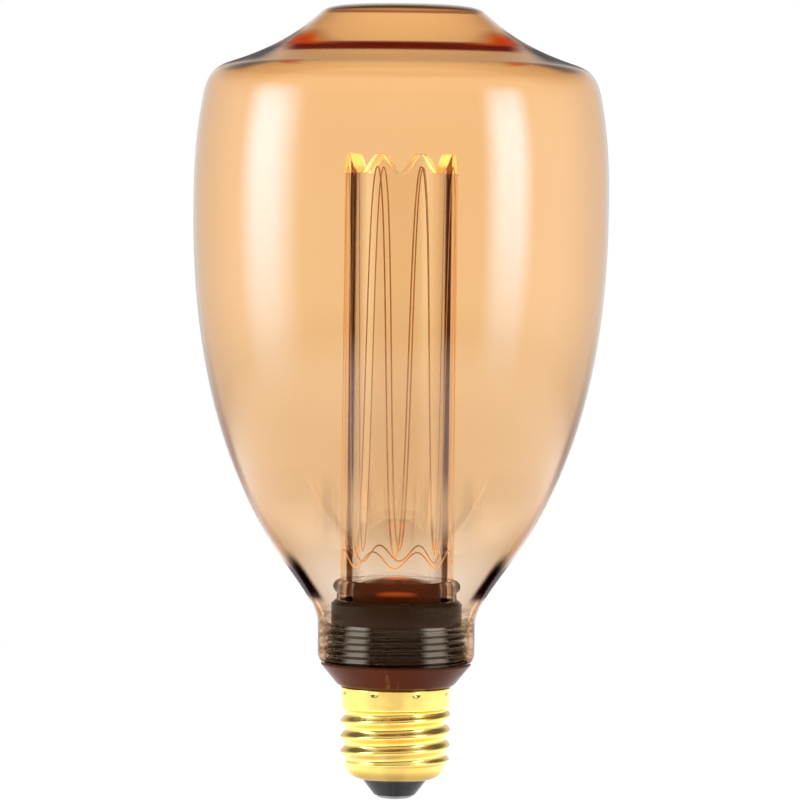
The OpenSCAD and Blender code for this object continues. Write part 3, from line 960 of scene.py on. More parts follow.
@dataclass(frozen=True)
class AmberGlass(ClearBody):
    """The amber glass, paler at the neck, which takes more light where it is thick."""

    name: str = "amber_glass"
    tint: Colour = (1.0, 0.77, 0.51)
    ior: float = 1.5
    roughness: float = 0.0
    shadow_tint: Colour = (0.98, 0.86, 0.7)
    depth_tint: Colour = (0.78, 0.42, 0.14)
    density: float = 110.0

    neck_tint: Colour = (0.95, 0.89, 0.84)
    neck_rise: Step = (44.0, 76.0)
    flank_tint: Colour = (0.87, 0.65, 0.39)
    flank_rise: Step = (84.0, 122.0)
    crown_tint: Colour = (1.0, 0.72, 0.42)
    crown_rise: Step = (160.0, 184.0)
    uneven_share: float = 0.2

    rim_tint: Colour = (0.83, 0.79, 0.71)
    rim_turn: Step = (0.3, 0.95)
    # Painted shade: side_line darkens the glass along its outline where it turns away; crown_line is a dark
    # ring by height near the crown's top.
    line_tint: Colour = (0.3, 0.1, 0.05)
    crown_line: Zone = Zone((186.0, 186.6), (187.0, 187.5), share=0.8)
    side_line: Zone = Zone((50.0, 58.0), (76.0, 118.0), (0.7, 0.78), (0.85, 0.92), 0.5)
    # Painted shade: the thick glass of flare and shoulder turns nearly black where it turns away.
    thick_glass_shade: Colour = (0.03, 0.008, 0.012)
    flare: Zone = Zone((46.0, 48.5), (54.0, 59.0), (0.58, 0.68))
    shoulder: Zone = Zone((171.5, 174.0), (177.0, 178.6), (0.8, 0.93))
    # A dark red line in the shoulder's hollow, shown only on the near side and by view angle.
    hollow_line_tint: Colour = (0.16, 0.012, 0.002)
    hollow_line_zone: Zone = Zone((176.0, 176.6), (177.9, 178.3), turn_to=(0.755, 0.83))
    # Painted light: an orange glow at the crown's corners, where the surface turns away.
    painted_corner_glow: Colour = (0.8, 0.2, 0.01)
    corner: Zone = Zone((177.4, 178.2), (179.7, 182.0), (0.6, 0.72), (0.8, 0.88))
    # Painted shade: grey wedges at the crown's sides, where the surface turns away.
    painted_wedge_shade: Colour = (0.36, 0.33, 0.37)
    wedge: Zone = Zone((172.0, 175.0), (180.5, 183.0), (0.8, 0.88))

    # Painted light and shade: bright and dark streaks on the neck's sides, where the surface turns a little
    # away.
    throat: Zone = Zone((31.5, 32.5), (42.0, 46.0), (0.25, 0.42), share=0.9)
    throat_streak_shade: Colour = (0.4, 0.33, 0.25)
    throat_streak_light: Colour = (1.0, 1.0, 0.96)
    throat_streak_scale: float = 900.0
    throat_streak_stretch: Point3 = (0.15, 0.15, 1.0)
    throat_streak_step: Step = (0.42, 0.6)

    plain_neck: Step = (58.0, 82.0)
    plain_turn: Step = (0.72, 0.92)
    plain_dark: float = 0.8

    def colour(self, board: Board) -> object:
        """Amber that changes with the height and is deeper at the rim, with painted shade in dark lines, in
        thick glass and at the crown's sides, a painted orange glow at the crown's corners, a red line in the
        shoulder's hollow, and painted streaks of light and shade at the throat.

        Args:
            board: The material's tree.

        Returns:
            The tint.
        """
        run = UnevenTone().place(board, Scale=9.0, Low=0.0, High=self.uneven_share)["Value"]
        body = board.blend(height_mask(board, *self.flank_rise), self.flank_tint, self.tint)
        body = board.blend(height_mask(board, *self.neck_rise), self.neck_tint, body)
        body = board.blend(height_mask(board, *self.crown_rise), body, self.crown_tint)
        body = board.blend(run, body, self.neck_tint)
        rim = board.blend(1.0, body, self.rim_tint, "MULTIPLY")
        body = board.blend(board.span(board.facing(), *self.rim_turn), body, rim)
        # Painted shade in dark lines, wedges and thick glass, a painted orange glow at the corners, and the
        # red line in the shoulder's hollow.
        for mask, tint in (
            (board.most(self.crown_line.mask(board), self.side_line.mask(board)), self.line_tint),
            (self.hollow_line(board), self.hollow_line_tint),
            (self.corner.mask(board), self.painted_corner_glow),
            (self.wedge.mask(board), self.painted_wedge_shade),
            (self.painted_thick_shade(board), self.thick_glass_shade),
        ):
            body = board.blend(mask, body, tint)
        # Painted streaks of light and shade at the throat.
        noise = board.noise(self.throat_streak_scale, detail=2.0, stretch=self.throat_streak_stretch)
        grain = board.blend(board.span(noise, *self.throat_streak_step), self.throat_streak_shade, self.throat_streak_light)
        return board.blend(self.throat.mask(board), body, grain)

    def painted_thick_shade(self, board: Board) -> Socket:
        """Where the thick glass of flare and shoulder turns away, which gets painted shade."""
        return board.most(self.flare.mask(board), self.shoulder.mask(board))

    def hollow_line(self, board: Board) -> Socket:
        """A red line in the shoulder's hollow, only on the near side and where the surface faces the viewer.
        """
        near = board.math("LESS_THAN", self.crossed(board), self.far_from)
        return board.times(self.hollow_line_zone.mask(board), near)

    def plain_share(self, board: Board) -> Socket:
        """The far wall, and what mirrors nothing in the photo: most of the neck and the dark parts.

        Args:
            board: The material's tree.

        Returns:
            The share, from 0 to 1.
        """
        neck = board.rest(height_mask(board, *self.plain_neck))
        front = board.fall(board.facing(), *self.plain_turn)
        zones = [zone.mask(board) for zone in (self.side_line, self.corner, self.wedge)]
        dark = board.most(self.painted_thick_shade(board), self.hollow_line(board), *zones)
        far = super().plain_share(board)
        return board.most(far, board.times(neck, front), board.times(dark, self.plain_dark))


@dataclass(frozen=True)
class Bead(ClearBody):
    """Clear silicone, with a painted dark outline of shade where it turns away."""

    name: str = "silicone_bead"
    tint: Colour = (0.93, 0.88, 0.83)
    ior: float = 1.07
    roughness: float = 0.0
    shadow_tint: Colour = (0.9, 0.88, 0.85)
    depth_tint: Colour = (0.3, 0.2, 0.14)
    density: float = 150.0
    # Painted shade at the bead's outline, where it turns away.
    outline: Colour = (0.1, 0.04, 0.02)
    outline_turn: Step = (0.62, 0.85)

    def colour(self, board: Board) -> object:
        """Nearly clear in the middle, with painted dark brown shade at the outline."""
        return board.blend(board.span(board.facing(), *self.outline_turn), self.tint, self.outline)


@dataclass(frozen=True)
class AcrylicWall(ClearBody):
    """The light guide's wall, with painted dark bands of shade where it turns away and a painted glow at its
    rim.
    """

    name: str = "acrylic_wall"
    tint: Colour = (1.0, 0.985, 0.965)
    ior: float = 1.4
    roughness: float = 0.0
    shadow_tint: Colour = (0.97, 0.93, 0.88)
    # Painted shade: the dark band where the wall turns away.
    band_shade: Colour = (0.2, 0.085, 0.03)
    # Painted light: a warm tint and a glow at the very rim, where the wall turns away.
    rim_tint: Colour = (1.0, 0.62, 0.3)
    painted_rim_glow: Colour = (1.0, 0.45, 0.12)
    rim_strength: float = 0.22
    rim_ease: float = 0.1
    band_from: float = 0.345
    band_to: float = 0.575
    rise_width: float = 0.07
    fall_width: float = 0.05
    fringe_width: float = 0.16
    fringe_share: float = 0.3
    streak_scale: float = 900.0
    streak_stretch: Point3 = (1.0, 1.0, 0.01)
    streak_step: Step = (0.3, 0.6)
    streak_low: float = 0.88

    def band(self, board: Board) -> Socket:
        """Where the near side turns away just so far that its bore sends the light aside, which gets painted
        shade.

        Args:
            board: The material's tree.

        Returns:
            The mask.
        """
        facing = board.facing()
        rise = board.span(facing, self.band_from, self.band_from + self.rise_width)
        fringe = board.span(
            facing, self.band_from - self.fringe_width, self.band_from, 0.0, self.fringe_share
        )
        fall = board.fall(facing, self.band_to - self.fall_width, self.band_to)
        noise = board.noise(self.streak_scale, detail=2.0, stretch=self.streak_stretch)
        streak = board.span(noise, *self.streak_step, self.streak_low, 1.0)
        return board.times(board.most(rise, fringe), fall, board.front(), streak)

    def shade(self, board: Board, skin: bpy.types.Node) -> None:
        """A clear body with a painted warm tint and a painted glow at the very rim.

        Args:
            board: The material's tree.
            skin: The material's Principled shader.
        """
        super().shade(board, skin)
        turn = board.span(board.facing(), self.band_to - self.fall_width, self.band_to + self.rim_ease)
        rim = board.times(turn, board.front())
        board.fill(skin, {
            "Base Color": board.blend(rim, self.tint, self.rim_tint),
            "Emission Color": board.blend(rim, NO_LIGHT, self.painted_rim_glow),
            "Emission Strength": self.rim_strength,
        })

    def surface(self, board: Board, skin: bpy.types.Node) -> Socket:
        """The skin, with the band's painted shade as a plain tint, because it mirrors nothing."""
        return board.join(self.band(board), super().surface(board, skin), board.clear(self.band_shade))


@dataclass(frozen=True)
class FrostedEnd(Finish):
    """The sawn and polished end of the light guide, where its light comes out, with a painted glow and
    painted shade where it turns away.
    """

    name: str = "frosted_end"
    tint: Colour = (0.98, 0.72, 0.36)
    # Painted shade where the end turns away, and a painted glow.
    aside_shade: Colour = (0.5, 0.24, 0.1)
    aside_turn: Step = (0.72, 0.93)
    painted_glow: Colour = (1.0, 0.72, 0.28)
    dim_painted_glow: Colour = (0.6, 0.25, 0.05)
    aside_painted_glow: Colour = (0.12, 0.04, 0.01)
    painted_glow_strength: float = 0.9

    def shade(self, board: Board, skin: bpy.types.Node) -> None:
        """Warm see-through end with fine saw marks, a painted glow and painted shade where it turns away.

        Args:
            board: The material's tree.
            skin: The material's Principled shader.
        """
        marks = TurnedRings().place(board, Rings=2.0, Scale=2500.0)["Height"]
        tone = UnevenTone().place(board, Scale=300.0, Low=0.4, High=1.0)["Value"]
        aside = board.span(board.facing(), *self.aside_turn)
        light = board.blend(tone, self.dim_painted_glow, self.painted_glow)
        board.fill(skin, {
            "Base Color": board.blend(aside, self.tint, self.aside_shade),
            "Roughness": board.span(tone, 0.0, 1.0, 0.25, 0.45),
            "IOR": 1.49,
            "Transmission Weight": 0.75,
            "Emission Color": board.blend(aside, light, self.aside_painted_glow),
            "Emission Strength": self.painted_glow_strength,
        })
        bump(board, skin, marks, strength=0.3, distance=0.02)


@dataclass(frozen=True)
class EngravedLine(Finish):
    """A laser-cut line in the acrylic, copper brown, with a painted highlight and glow at its lowest stretch.
    """

    name: str
    colour: Colour
    # Painted light: the lowest stretch of the line gets a painted highlight and glow.
    painted_glow_fall: Step
    painted_glow: Colour = (1.0, 0.42, 0.08)
    painted_glow_strength: float = 0.4
    pale: Colour = (0.75, 0.42, 0.18)
    pale_share: float = 0.35
    bright: Colour = (0.95, 0.5, 0.15)
    bright_share: float = 0.7

    def shade(self, board: Board, skin: bpy.types.Node) -> None:
        """Rough copper tone with a painted faint glow at its lowest stretch.

        Args:
            board: The material's tree.
            skin: The material's Principled shader.
        """
        tone = UnevenTone().place(board, Scale=500.0, Low=0.0, High=self.pale_share)["Value"]
        # Painted highlight and glow at the line's lowest stretch.
        bright = board.rest(height_mask(board, *self.painted_glow_fall))
        body = board.blend(tone, self.colour, self.pale)
        board.fill(skin, {
            "Base Color": board.blend(board.times(bright, self.bright_share), body, self.bright),
            "Roughness": board.span(tone, 0.0, self.pale_share, 0.45, 0.65),
            "Emission Color": board.blend(bright, NO_LIGHT, self.painted_glow),
            "Emission Strength": self.painted_glow_strength,
        })


@dataclass(frozen=True)
class MouldedPlastic(Finish):
    """Moulded plastic with flow marks, a faint peel and lighter worn edges."""

    name: str
    colour: Colour
    shade_colour: Colour
    roughness: float
    edge: Colour
    coat: float = 0.0
    gloss: float = 0.5
    edge_share: float = 0.35
    smudge_gain: float = 0.18
    smudged_coat: float = 0.6

    def shade(self, board: Board, skin: bpy.types.Node) -> None:
        """Two tones of plastic, smudged gloss and worn edges.

        Args:
            board: The material's tree.
            skin: The material's Principled shader.
        """
        grain = MouldedGrain().place(board, Scale=900.0)
        smudge = Smudges().place(board, Scale=70.0, Cover=0.6)["Mask"]
        worn = WornEdges().place(board, Low=0.53, High=0.62)["Mask"]
        body = board.blend(grain["Shade"], self.colour, self.shade_colour)
        board.fill(skin, {
            "Base Color": board.blend(board.times(worn, self.edge_share), body, self.edge),
            "Roughness": board.span(smudge, 0.0, 1.0, self.roughness, self.roughness + self.smudge_gain),
            "Coat Weight": board.span(smudge, 0.0, 1.0, self.coat, self.coat * self.smudged_coat),
            "Coat Roughness": 0.08,
            "Specular IOR Level": self.gloss,
        })
        bump(board, skin, grain["Height"], strength=0.12, distance=0.02)


@dataclass(frozen=True)
class RidgedPlastic(MouldedPlastic):
    """Glossy plastic with a painted pale highlight on the upper flanks that turn a little to the side."""

    # Painted highlight: a pale base colour on up-facing flanks between two angles of view.
    painted_sheen: Colour = (0.5, 0.58, 0.72)
    sheen_rise: Step = (0.07, 0.14)
    sheen_fall: Step = (0.24, 0.4)
    flank_step: Step = (-0.15, 0.45)
    flank_low: float = 0.15

    def shade(self, board: Board, skin: bpy.types.Node) -> None:
        """The plain plastic, with the painted highlight between two angles of view.

        Args:
            board: The material's tree.
            skin: The material's Principled shader.
        """
        super().shade(board, skin)
        old = skin.inputs["Base Color"].links[0].from_socket
        flat = board.add("VectorMath", operation="MULTIPLY")
        board.feed(flat.inputs[0], board.place())
        flat.inputs[1].default_value = (1.0, 1.0, 0.0)
        outward = board.add("VectorMath", operation="NORMALIZE")
        board.feed(outward.inputs[0], flat.outputs[0])
        view = board.add("LayerWeight")
        board.feed(view.inputs["Normal"], outward.outputs[0])
        facing = view.outputs["Facing"]
        up = board.axes(board.add("NewGeometry").outputs["Normal"])[2]
        share = board.times(
            board.span(facing, *self.sheen_rise),
            board.fall(facing, *self.sheen_fall),
            board.span(up, *self.flank_step, self.flank_low, 1.0),
        )
        board.fill(skin, {"Base Color": board.blend(share, old, self.painted_sheen)})


@dataclass(frozen=True)
class DimpledPlug(MouldedPlastic):
    """The plug's plastic, with a painted orange-red reflection of the amber glass that glows in its dimple.
    """

    # Painted reflection: an orange-red glow in the dimple and at the dome's near edge.
    painted_glow: Colour = (0.85, 0.17, 0.04)
    painted_glow_strength: float = 0.45
    dimple_fall: Step = (3.2, 4.2)
    top_rise: Step = (48.0, 50.0)
    rim_z: float = 49.7
    rim_fall: Step = (0.3, 1.0)
    rim_turn: Step = (0.02, 0.16)
    rim_share: float = 0.55

    def shade(self, board: Board, skin: bpy.types.Node) -> None:
        """The plain plastic, with a painted orange-red reflection, which glows, in the dimple and at the near
        edge of the dome.

        Args:
            board: The material's tree.
            skin: The material's Principled shader.
        """
        super().shade(board, skin)
        old = skin.inputs["Base Color"].links[0].from_socket
        inside = board.fall(board.radius(), *self.dimple_fall)
        dimple = board.times(inside, height_mask(board, *self.top_rise))
        off = board.math("ABSOLUTE", board.math("SUBTRACT", board.height(), self.rim_z))
        ahead, low = board.fall(board.facing(), *self.rim_turn), board.fall(off, *self.rim_fall)
        place = board.most(dimple, board.times(ahead, low, self.rim_share))
        board.fill(skin, {
            "Base Color": board.blend(place, old, self.painted_glow),
            "Emission Color": board.blend(place, NO_LIGHT, self.painted_glow),
            "Emission Strength": self.painted_glow_strength,
        })


@dataclass(frozen=True)
class RolledMetal(Finish):
    """Sheet metal with rolling rings, dull patches and bright edges."""

    name: str
    colour: Colour
    dull: Colour
    roughness: float
    rings: float = 3.0
    ring_depth: float = 0.006
    bright: Colour = (1.0, 0.9, 0.6)
    bright_share: float = 0.4
    dull_share: float = 0.6
    smudge_gain: float = 0.15

    def shade(self, board: Board, skin: bpy.types.Node) -> None:
        """Metal with two tones, uneven gloss and fine rings.

        Args:
            board: The material's tree.
            skin: The material's Principled shader.
        """
        tone = UnevenTone().place(board, Scale=120.0, Low=0.0, High=self.dull_share)["Value"]
        smudge = Smudges().place(board, Scale=90.0, Cover=0.7)["Mask"]
        worn = WornEdges().place(board, Low=0.54, High=0.64)["Mask"]
        rings = TurnedRings().place(board, Rings=self.rings, Scale=1500.0)["Height"]
        body = board.blend(tone, self.colour, self.dull)
        board.fill(skin, {
            "Base Color": board.blend(board.times(worn, self.bright_share), body, self.bright),
            "Metallic": 1.0,
            "Roughness": board.span(smudge, 0.0, 1.0, self.roughness, self.roughness + self.smudge_gain),
        })
        bump(board, skin, rings, strength=0.25, distance=self.ring_depth)


@dataclass(frozen=True)
class CoatedBoard(Finish):
    """A circuit board's lacquer over copper tracks."""

    name: str
    colour: Colour
    track: Colour
    scale: float
    track_edge: Step = (0.03, 0.07)

    def shade(self, board: Board, skin: bpy.types.Node) -> None:
        """Lacquer in soft patches, with tracks as the cells of a Voronoi pattern.

        Args:
            board: The material's tree.
            skin: The material's Principled shader.
        """
        cells = board.add("TexVoronoi", feature="DISTANCE_TO_EDGE", distance="MANHATTAN")
        board.fill(cells, {"Vector": board.place(), "Scale": self.scale})
        track = board.span(cells.outputs[0], *self.track_edge)
        tone = UnevenTone().place(board, Scale=400.0, Low=0.0, High=0.2)["Value"]
        body = board.blend(track, self.colour, self.track)
        board.fill(skin, {
            "Base Color": board.blend(tone, body, self.colour),
            "Roughness": board.span(track, 0.0, 1.0, 0.42, 0.28),
        })
        bump(board, skin, track, strength=0.3, distance=0.035)


@dataclass(frozen=True)
class LedPackage(Finish):
    """White package with the yellow phosphor in its round window."""

    name: str = "led_package"
    ring_r: float = 12.0
    window_fall: Step = (0.7, 1.0)
    face_rise: Step = (39.36, 39.45)
    phosphor: Colour = (0.9, 0.62, 0.1)
    white: Colour = (0.86, 0.85, 0.82)
    grey: Colour = (0.7, 0.69, 0.66)
    grey_share: float = 0.25

    def shade(self, board: Board, skin: bpy.types.Node) -> None:
        """Yellow near the ring that the windows lie on, white elsewhere.

        Args:
            board: The material's tree.
            skin: The material's Principled shader.
        """
        off = board.math("ABSOLUTE", board.math("SUBTRACT", board.radius(), self.ring_r))
        low = board.rest(height_mask(board, *self.face_rise))
        place = board.times(board.fall(off, *self.window_fall), low)
        tone = UnevenTone().place(board, Scale=600.0, Low=0.0, High=self.grey_share)["Value"]
        board.fill(skin, {
            "Base Color": board.blend(place, board.blend(tone, self.white, self.grey), self.phosphor),
            "Roughness": board.span(tone, 0.0, self.grey_share, 0.35, 0.5),
        })


@dataclass(frozen=True)
class WireSleeve(Finish):
    """The coloured insulation of a wire."""

    name: str
    colour: Colour
    dark_share: float = 0.55
    streak_share: float = 0.3

    def shade(self, board: Board, skin: bpy.types.Node) -> None:
        """Soft plastic with faint darker patches.

        Args:
            board: The material's tree.
            skin: The material's Principled shader.
        """
        tone = UnevenTone().place(board, Scale=350.0, Low=0.0, High=self.streak_share)["Value"]
        grain = MouldedGrain().place(board, Scale=1500.0)["Height"]
        dark = tuple(self.dark_share * c for c in self.colour)
        board.fill(skin, {
            "Base Color": board.blend(tone, self.colour, dark),
            "Roughness": board.span(tone, 0.0, self.streak_share, 0.38, 0.52),
        })
        bump(board, skin, grain, strength=0.15, distance=0.03)


GLASS = AmberGlass(ripple=0.05, ripple_scale=20.0, far_from=1.5)
ACRYLIC = AcrylicWall(far_from=3.5, calm_below=50.0)
BORE = ClearBody(
    "acrylic_bore", (0.97, 0.94, 0.9), 1.4, 0.0, shadow_tint=(0.98, 0.95, 0.9), far_from=3.5, calm_below=50.0
)
SILICONE = Bead()
CEMENT = ClearBody("clear_cement", (0.74, 0.72, 0.68), 1.003, 0.03, ripple=0.3, ripple_scale=300.0)
END_FACE = FrostedEnd()
DROP_LINE = EngravedLine("drop_line", (0.42, 0.19, 0.06), (58.0, 64.0))
WAVE_LINE = EngravedLine("wave_line", (0.5, 0.24, 0.08), (54.6, 60.0))

COLLAR = MouldedPlastic(
    "collar_plastic", (0.037, 0.023, 0.016), (0.028, 0.017, 0.012), 0.2, (0.12, 0.09, 0.07), gloss=0.15
)
HOUSING = MouldedPlastic(
    "housing_plastic", (0.088, 0.017, 0.004), (0.06, 0.012, 0.003), 0.3, (0.3, 0.12, 0.05), gloss=0.06
)
RIDGES = RidgedPlastic(
    "ridge_plastic", (0.03, 0.02, 0.017), (0.023, 0.015, 0.013), 0.12, (0.12, 0.09, 0.07), coat=0.6
)
PLUG = DimpledPlug(
    "plug_plastic", (0.18, 0.058, 0.028), (0.125, 0.04, 0.02), 0.25, (0.2, 0.12, 0.08), gloss=0.04
)
BLACK = MouldedPlastic(
    "black_insulator", (0.012, 0.012, 0.014), (0.008, 0.008, 0.01), 0.22, (0.08, 0.08, 0.09), coat=0.5
)
DARK_PART = MouldedPlastic(
    "dark_component", (0.03, 0.03, 0.032), (0.02, 0.02, 0.022), 0.4, (0.12, 0.12, 0.12)
)
CAN_SLEEVE = MouldedPlastic(
    "capacitor_sleeve", (0.02, 0.03, 0.06), (0.014, 0.02, 0.04), 0.3, (0.15, 0.16, 0.2), coat=0.3
)
RESISTOR = MouldedPlastic(
    "resistor_blue", (0.1, 0.22, 0.4), (0.07, 0.16, 0.3), 0.35, (0.3, 0.4, 0.55), coat=0.3
)

BRASS = RolledMetal("gold_brass", (1.0, 0.7, 0.2), (0.9, 0.55, 0.12), 0.16, rings=2.2)
CONTACT = RolledMetal(
    "contact_metal", (0.62, 0.62, 0.63), (0.48, 0.48, 0.5), 0.24, rings=1.6, bright=(0.85, 0.85, 0.86)
)
SPREADER = RolledMetal(
    "spreader_aluminium", (0.8, 0.8, 0.81), (0.65, 0.66, 0.68), 0.32, bright=(0.92, 0.92, 0.93)
)
STEEL = RolledMetal("screw_steel", (0.55, 0.55, 0.56), (0.42, 0.42, 0.44), 0.26, bright=(0.8, 0.8, 0.82))
LED_BOARD = CoatedBoard("white_board", (0.85, 0.85, 0.83), (0.72, 0.71, 0.68), 260.0)
DRIVER_BOARD = CoatedBoard("green_board", (0.03, 0.16, 0.06), (0.07, 0.26, 0.1), 320.0)
RED_WIRE = WireSleeve("red_insulation", (0.45, 0.03, 0.02))
BLUE_WIRE = WireSleeve("blue_insulation", (0.03, 0.1, 0.42))
BLACK_WIRE = WireSleeve("black_insulation", (0.02, 0.02, 0.022))


def dress(node: str, finish: Finish) -> None:
    """Gives a CAD node that stays shown its material.

    Args:
        node: The node's name.
        finish: Its finish.
    """
    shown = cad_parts[node]
    if not shown.material_slots:
        shown.data.materials.append(None)
    for place in shown.material_slots:
        place.material = finish.material()
    for face in shown.data.polygons:
        face.material_index = 0
    log.info("%s: kept from the frame, dressed in %s", node, finish.name)


# The lamp's sub-assemblies


@dataclass(frozen=True)
class GlassEnvelope:
    """The blown glass, clear outside and amber inside."""

    lip_z: float = 32.3
    height: float = 155.6
    neck_r: float = 18.6
    neck_h: float = 8.8
    neck_wall: float = 1.3
    wall: float = 0.55
    thin_h: float = 20.0
    flank: Point2 = (33.1, 33.6)
    flank_lean: float = 28.6
    widest: Point2 = (49.1, 107.6)
    shoulder: Point2 = (47.2, 133.1)
    shoulder_lean: float = 10.0
    slope_top: Point2 = (41.1, 141.6)
    slope: float = 18.0
    crown_edge: Point2 = (19.1, 153.9)
    crown_slope: float = 42.0
    crown_flat_r: float = 8.5
    handles: tuple[Point2, ...] = (
        (0.2, 0.43), (0.32, 0.37), (0.38, 0.38), (0.47, 0.4), (0.42, 0.33), (0.16, 0.54)
    )
    curve_steps: tuple[int, ...] = (26, 30, 14, 22, 22, 16)
    neck_steps: int = 6
    flat_steps: int = 5
    lip_round: float = 1.9
    lip_inset: float = 0.25
    lip_side: float = 0.35
    lip_chamfer: Point2 = (0.08, 0.1)
    columns: int = 240

    def outer(self) -> list[Point2]:
        """The outer outline from the lip to the axis, as radius and height above the lip.

        Returns:
            The outline's points.
        """
        lean, back = 90 - self.flank_lean, 90 + self.shoulder_lean
        slope, crown = 180 - self.slope, 180 - self.crown_slope
        neck_top, flat = (self.neck_r, self.neck_h), (self.crown_flat_r, self.height)
        marks = [
            (neck_top, 90.0),
            (self.flank, lean),
            (self.widest, 90.0),
            (self.shoulder, back),
            (self.slope_top, slope),
            (self.crown_edge, crown),
            (flat, 180.0),
        ]
        steps = range(self.neck_steps)
        made = [(self.neck_r, mix(self.lip_round, self.neck_h, i / self.neck_steps)) for i in steps]
        legs = zip(marks, marks[1:], self.handles, self.curve_steps)
        for (start, leave), (end, arrive), (k0, k1), steps in legs:
            made += swept_curve(start, leave, k0, end, arrive, k1, steps)
        inwards = [self.crown_flat_r * (1 - i / self.flat_steps) for i in range(self.flat_steps + 1)]
        return made + [(r, self.height) for r in inwards]

    def thickness(self, h: float) -> float:
        """The wall's thickness, which grows towards the neck.

        Args:
            h: Height above the lip.

        Returns:
            The thickness.
        """
        return mix(self.neck_wall, self.wall, smooth((h - self.neck_h) / (self.thin_h - self.neck_h)))

    def inner(self, outer: Sequence[Point2]) -> list[Point2]:
        """The inner outline, square to the outer one at the wall's thickness.

        Args:
            outer: The outer outline, as outer gives it.

        Returns:
            The inner outline's points, from lip to axis.
        """
        made = []
        last = len(outer) - 1
        for i, (r, h) in enumerate(outer):
            t = self.thickness(h)
            before, after = outer[max(i - 1, 0)], outer[min(i + 1, last)]
            along = Vector((after[0] - before[0], after[1] - before[1])).normalized()
            if i == 0:
                made.append((r - t, h))
            elif i == last:
                made.append((0.0, h - t))
            else:
                made.append((max(0.0, r - t * along.y), h + t * along.x))
        return made

    def lip(self) -> list[Point2]:
        """The fire-polished lip that joins the inner wall to the outer one.

        Returns:
            The lip's points, as radius and height above the lip.
        """
        bore = self.neck_r - self.neck_wall
        stand, (inward, foot) = bore + self.lip_inset, self.lip_chamfer
        arc = [math.radians(a) for a in range(-90, -5, 9)]
        return [
            (bore, self.lip_side),
            (bore + inward, foot),
            *[(stand + (self.neck_r - stand) * math.cos(a), self.lip_round * (1 + math.sin(a))) for a in arc],
        ]

    def build(self) -> None:
        """Builds the glass as one closed body."""
        outer = self.outer()
        outline = [(r, h + self.lip_z) for r, h in [*self.lip(), *outer, *reversed(self.inner(outer))]]
        points, faces = turned(outline, self.columns)
        replaced = ["glass_envelope"]
        piece("glass_envelope_blown", points, faces, [GLASS.material()], replaced, crease=60.0)


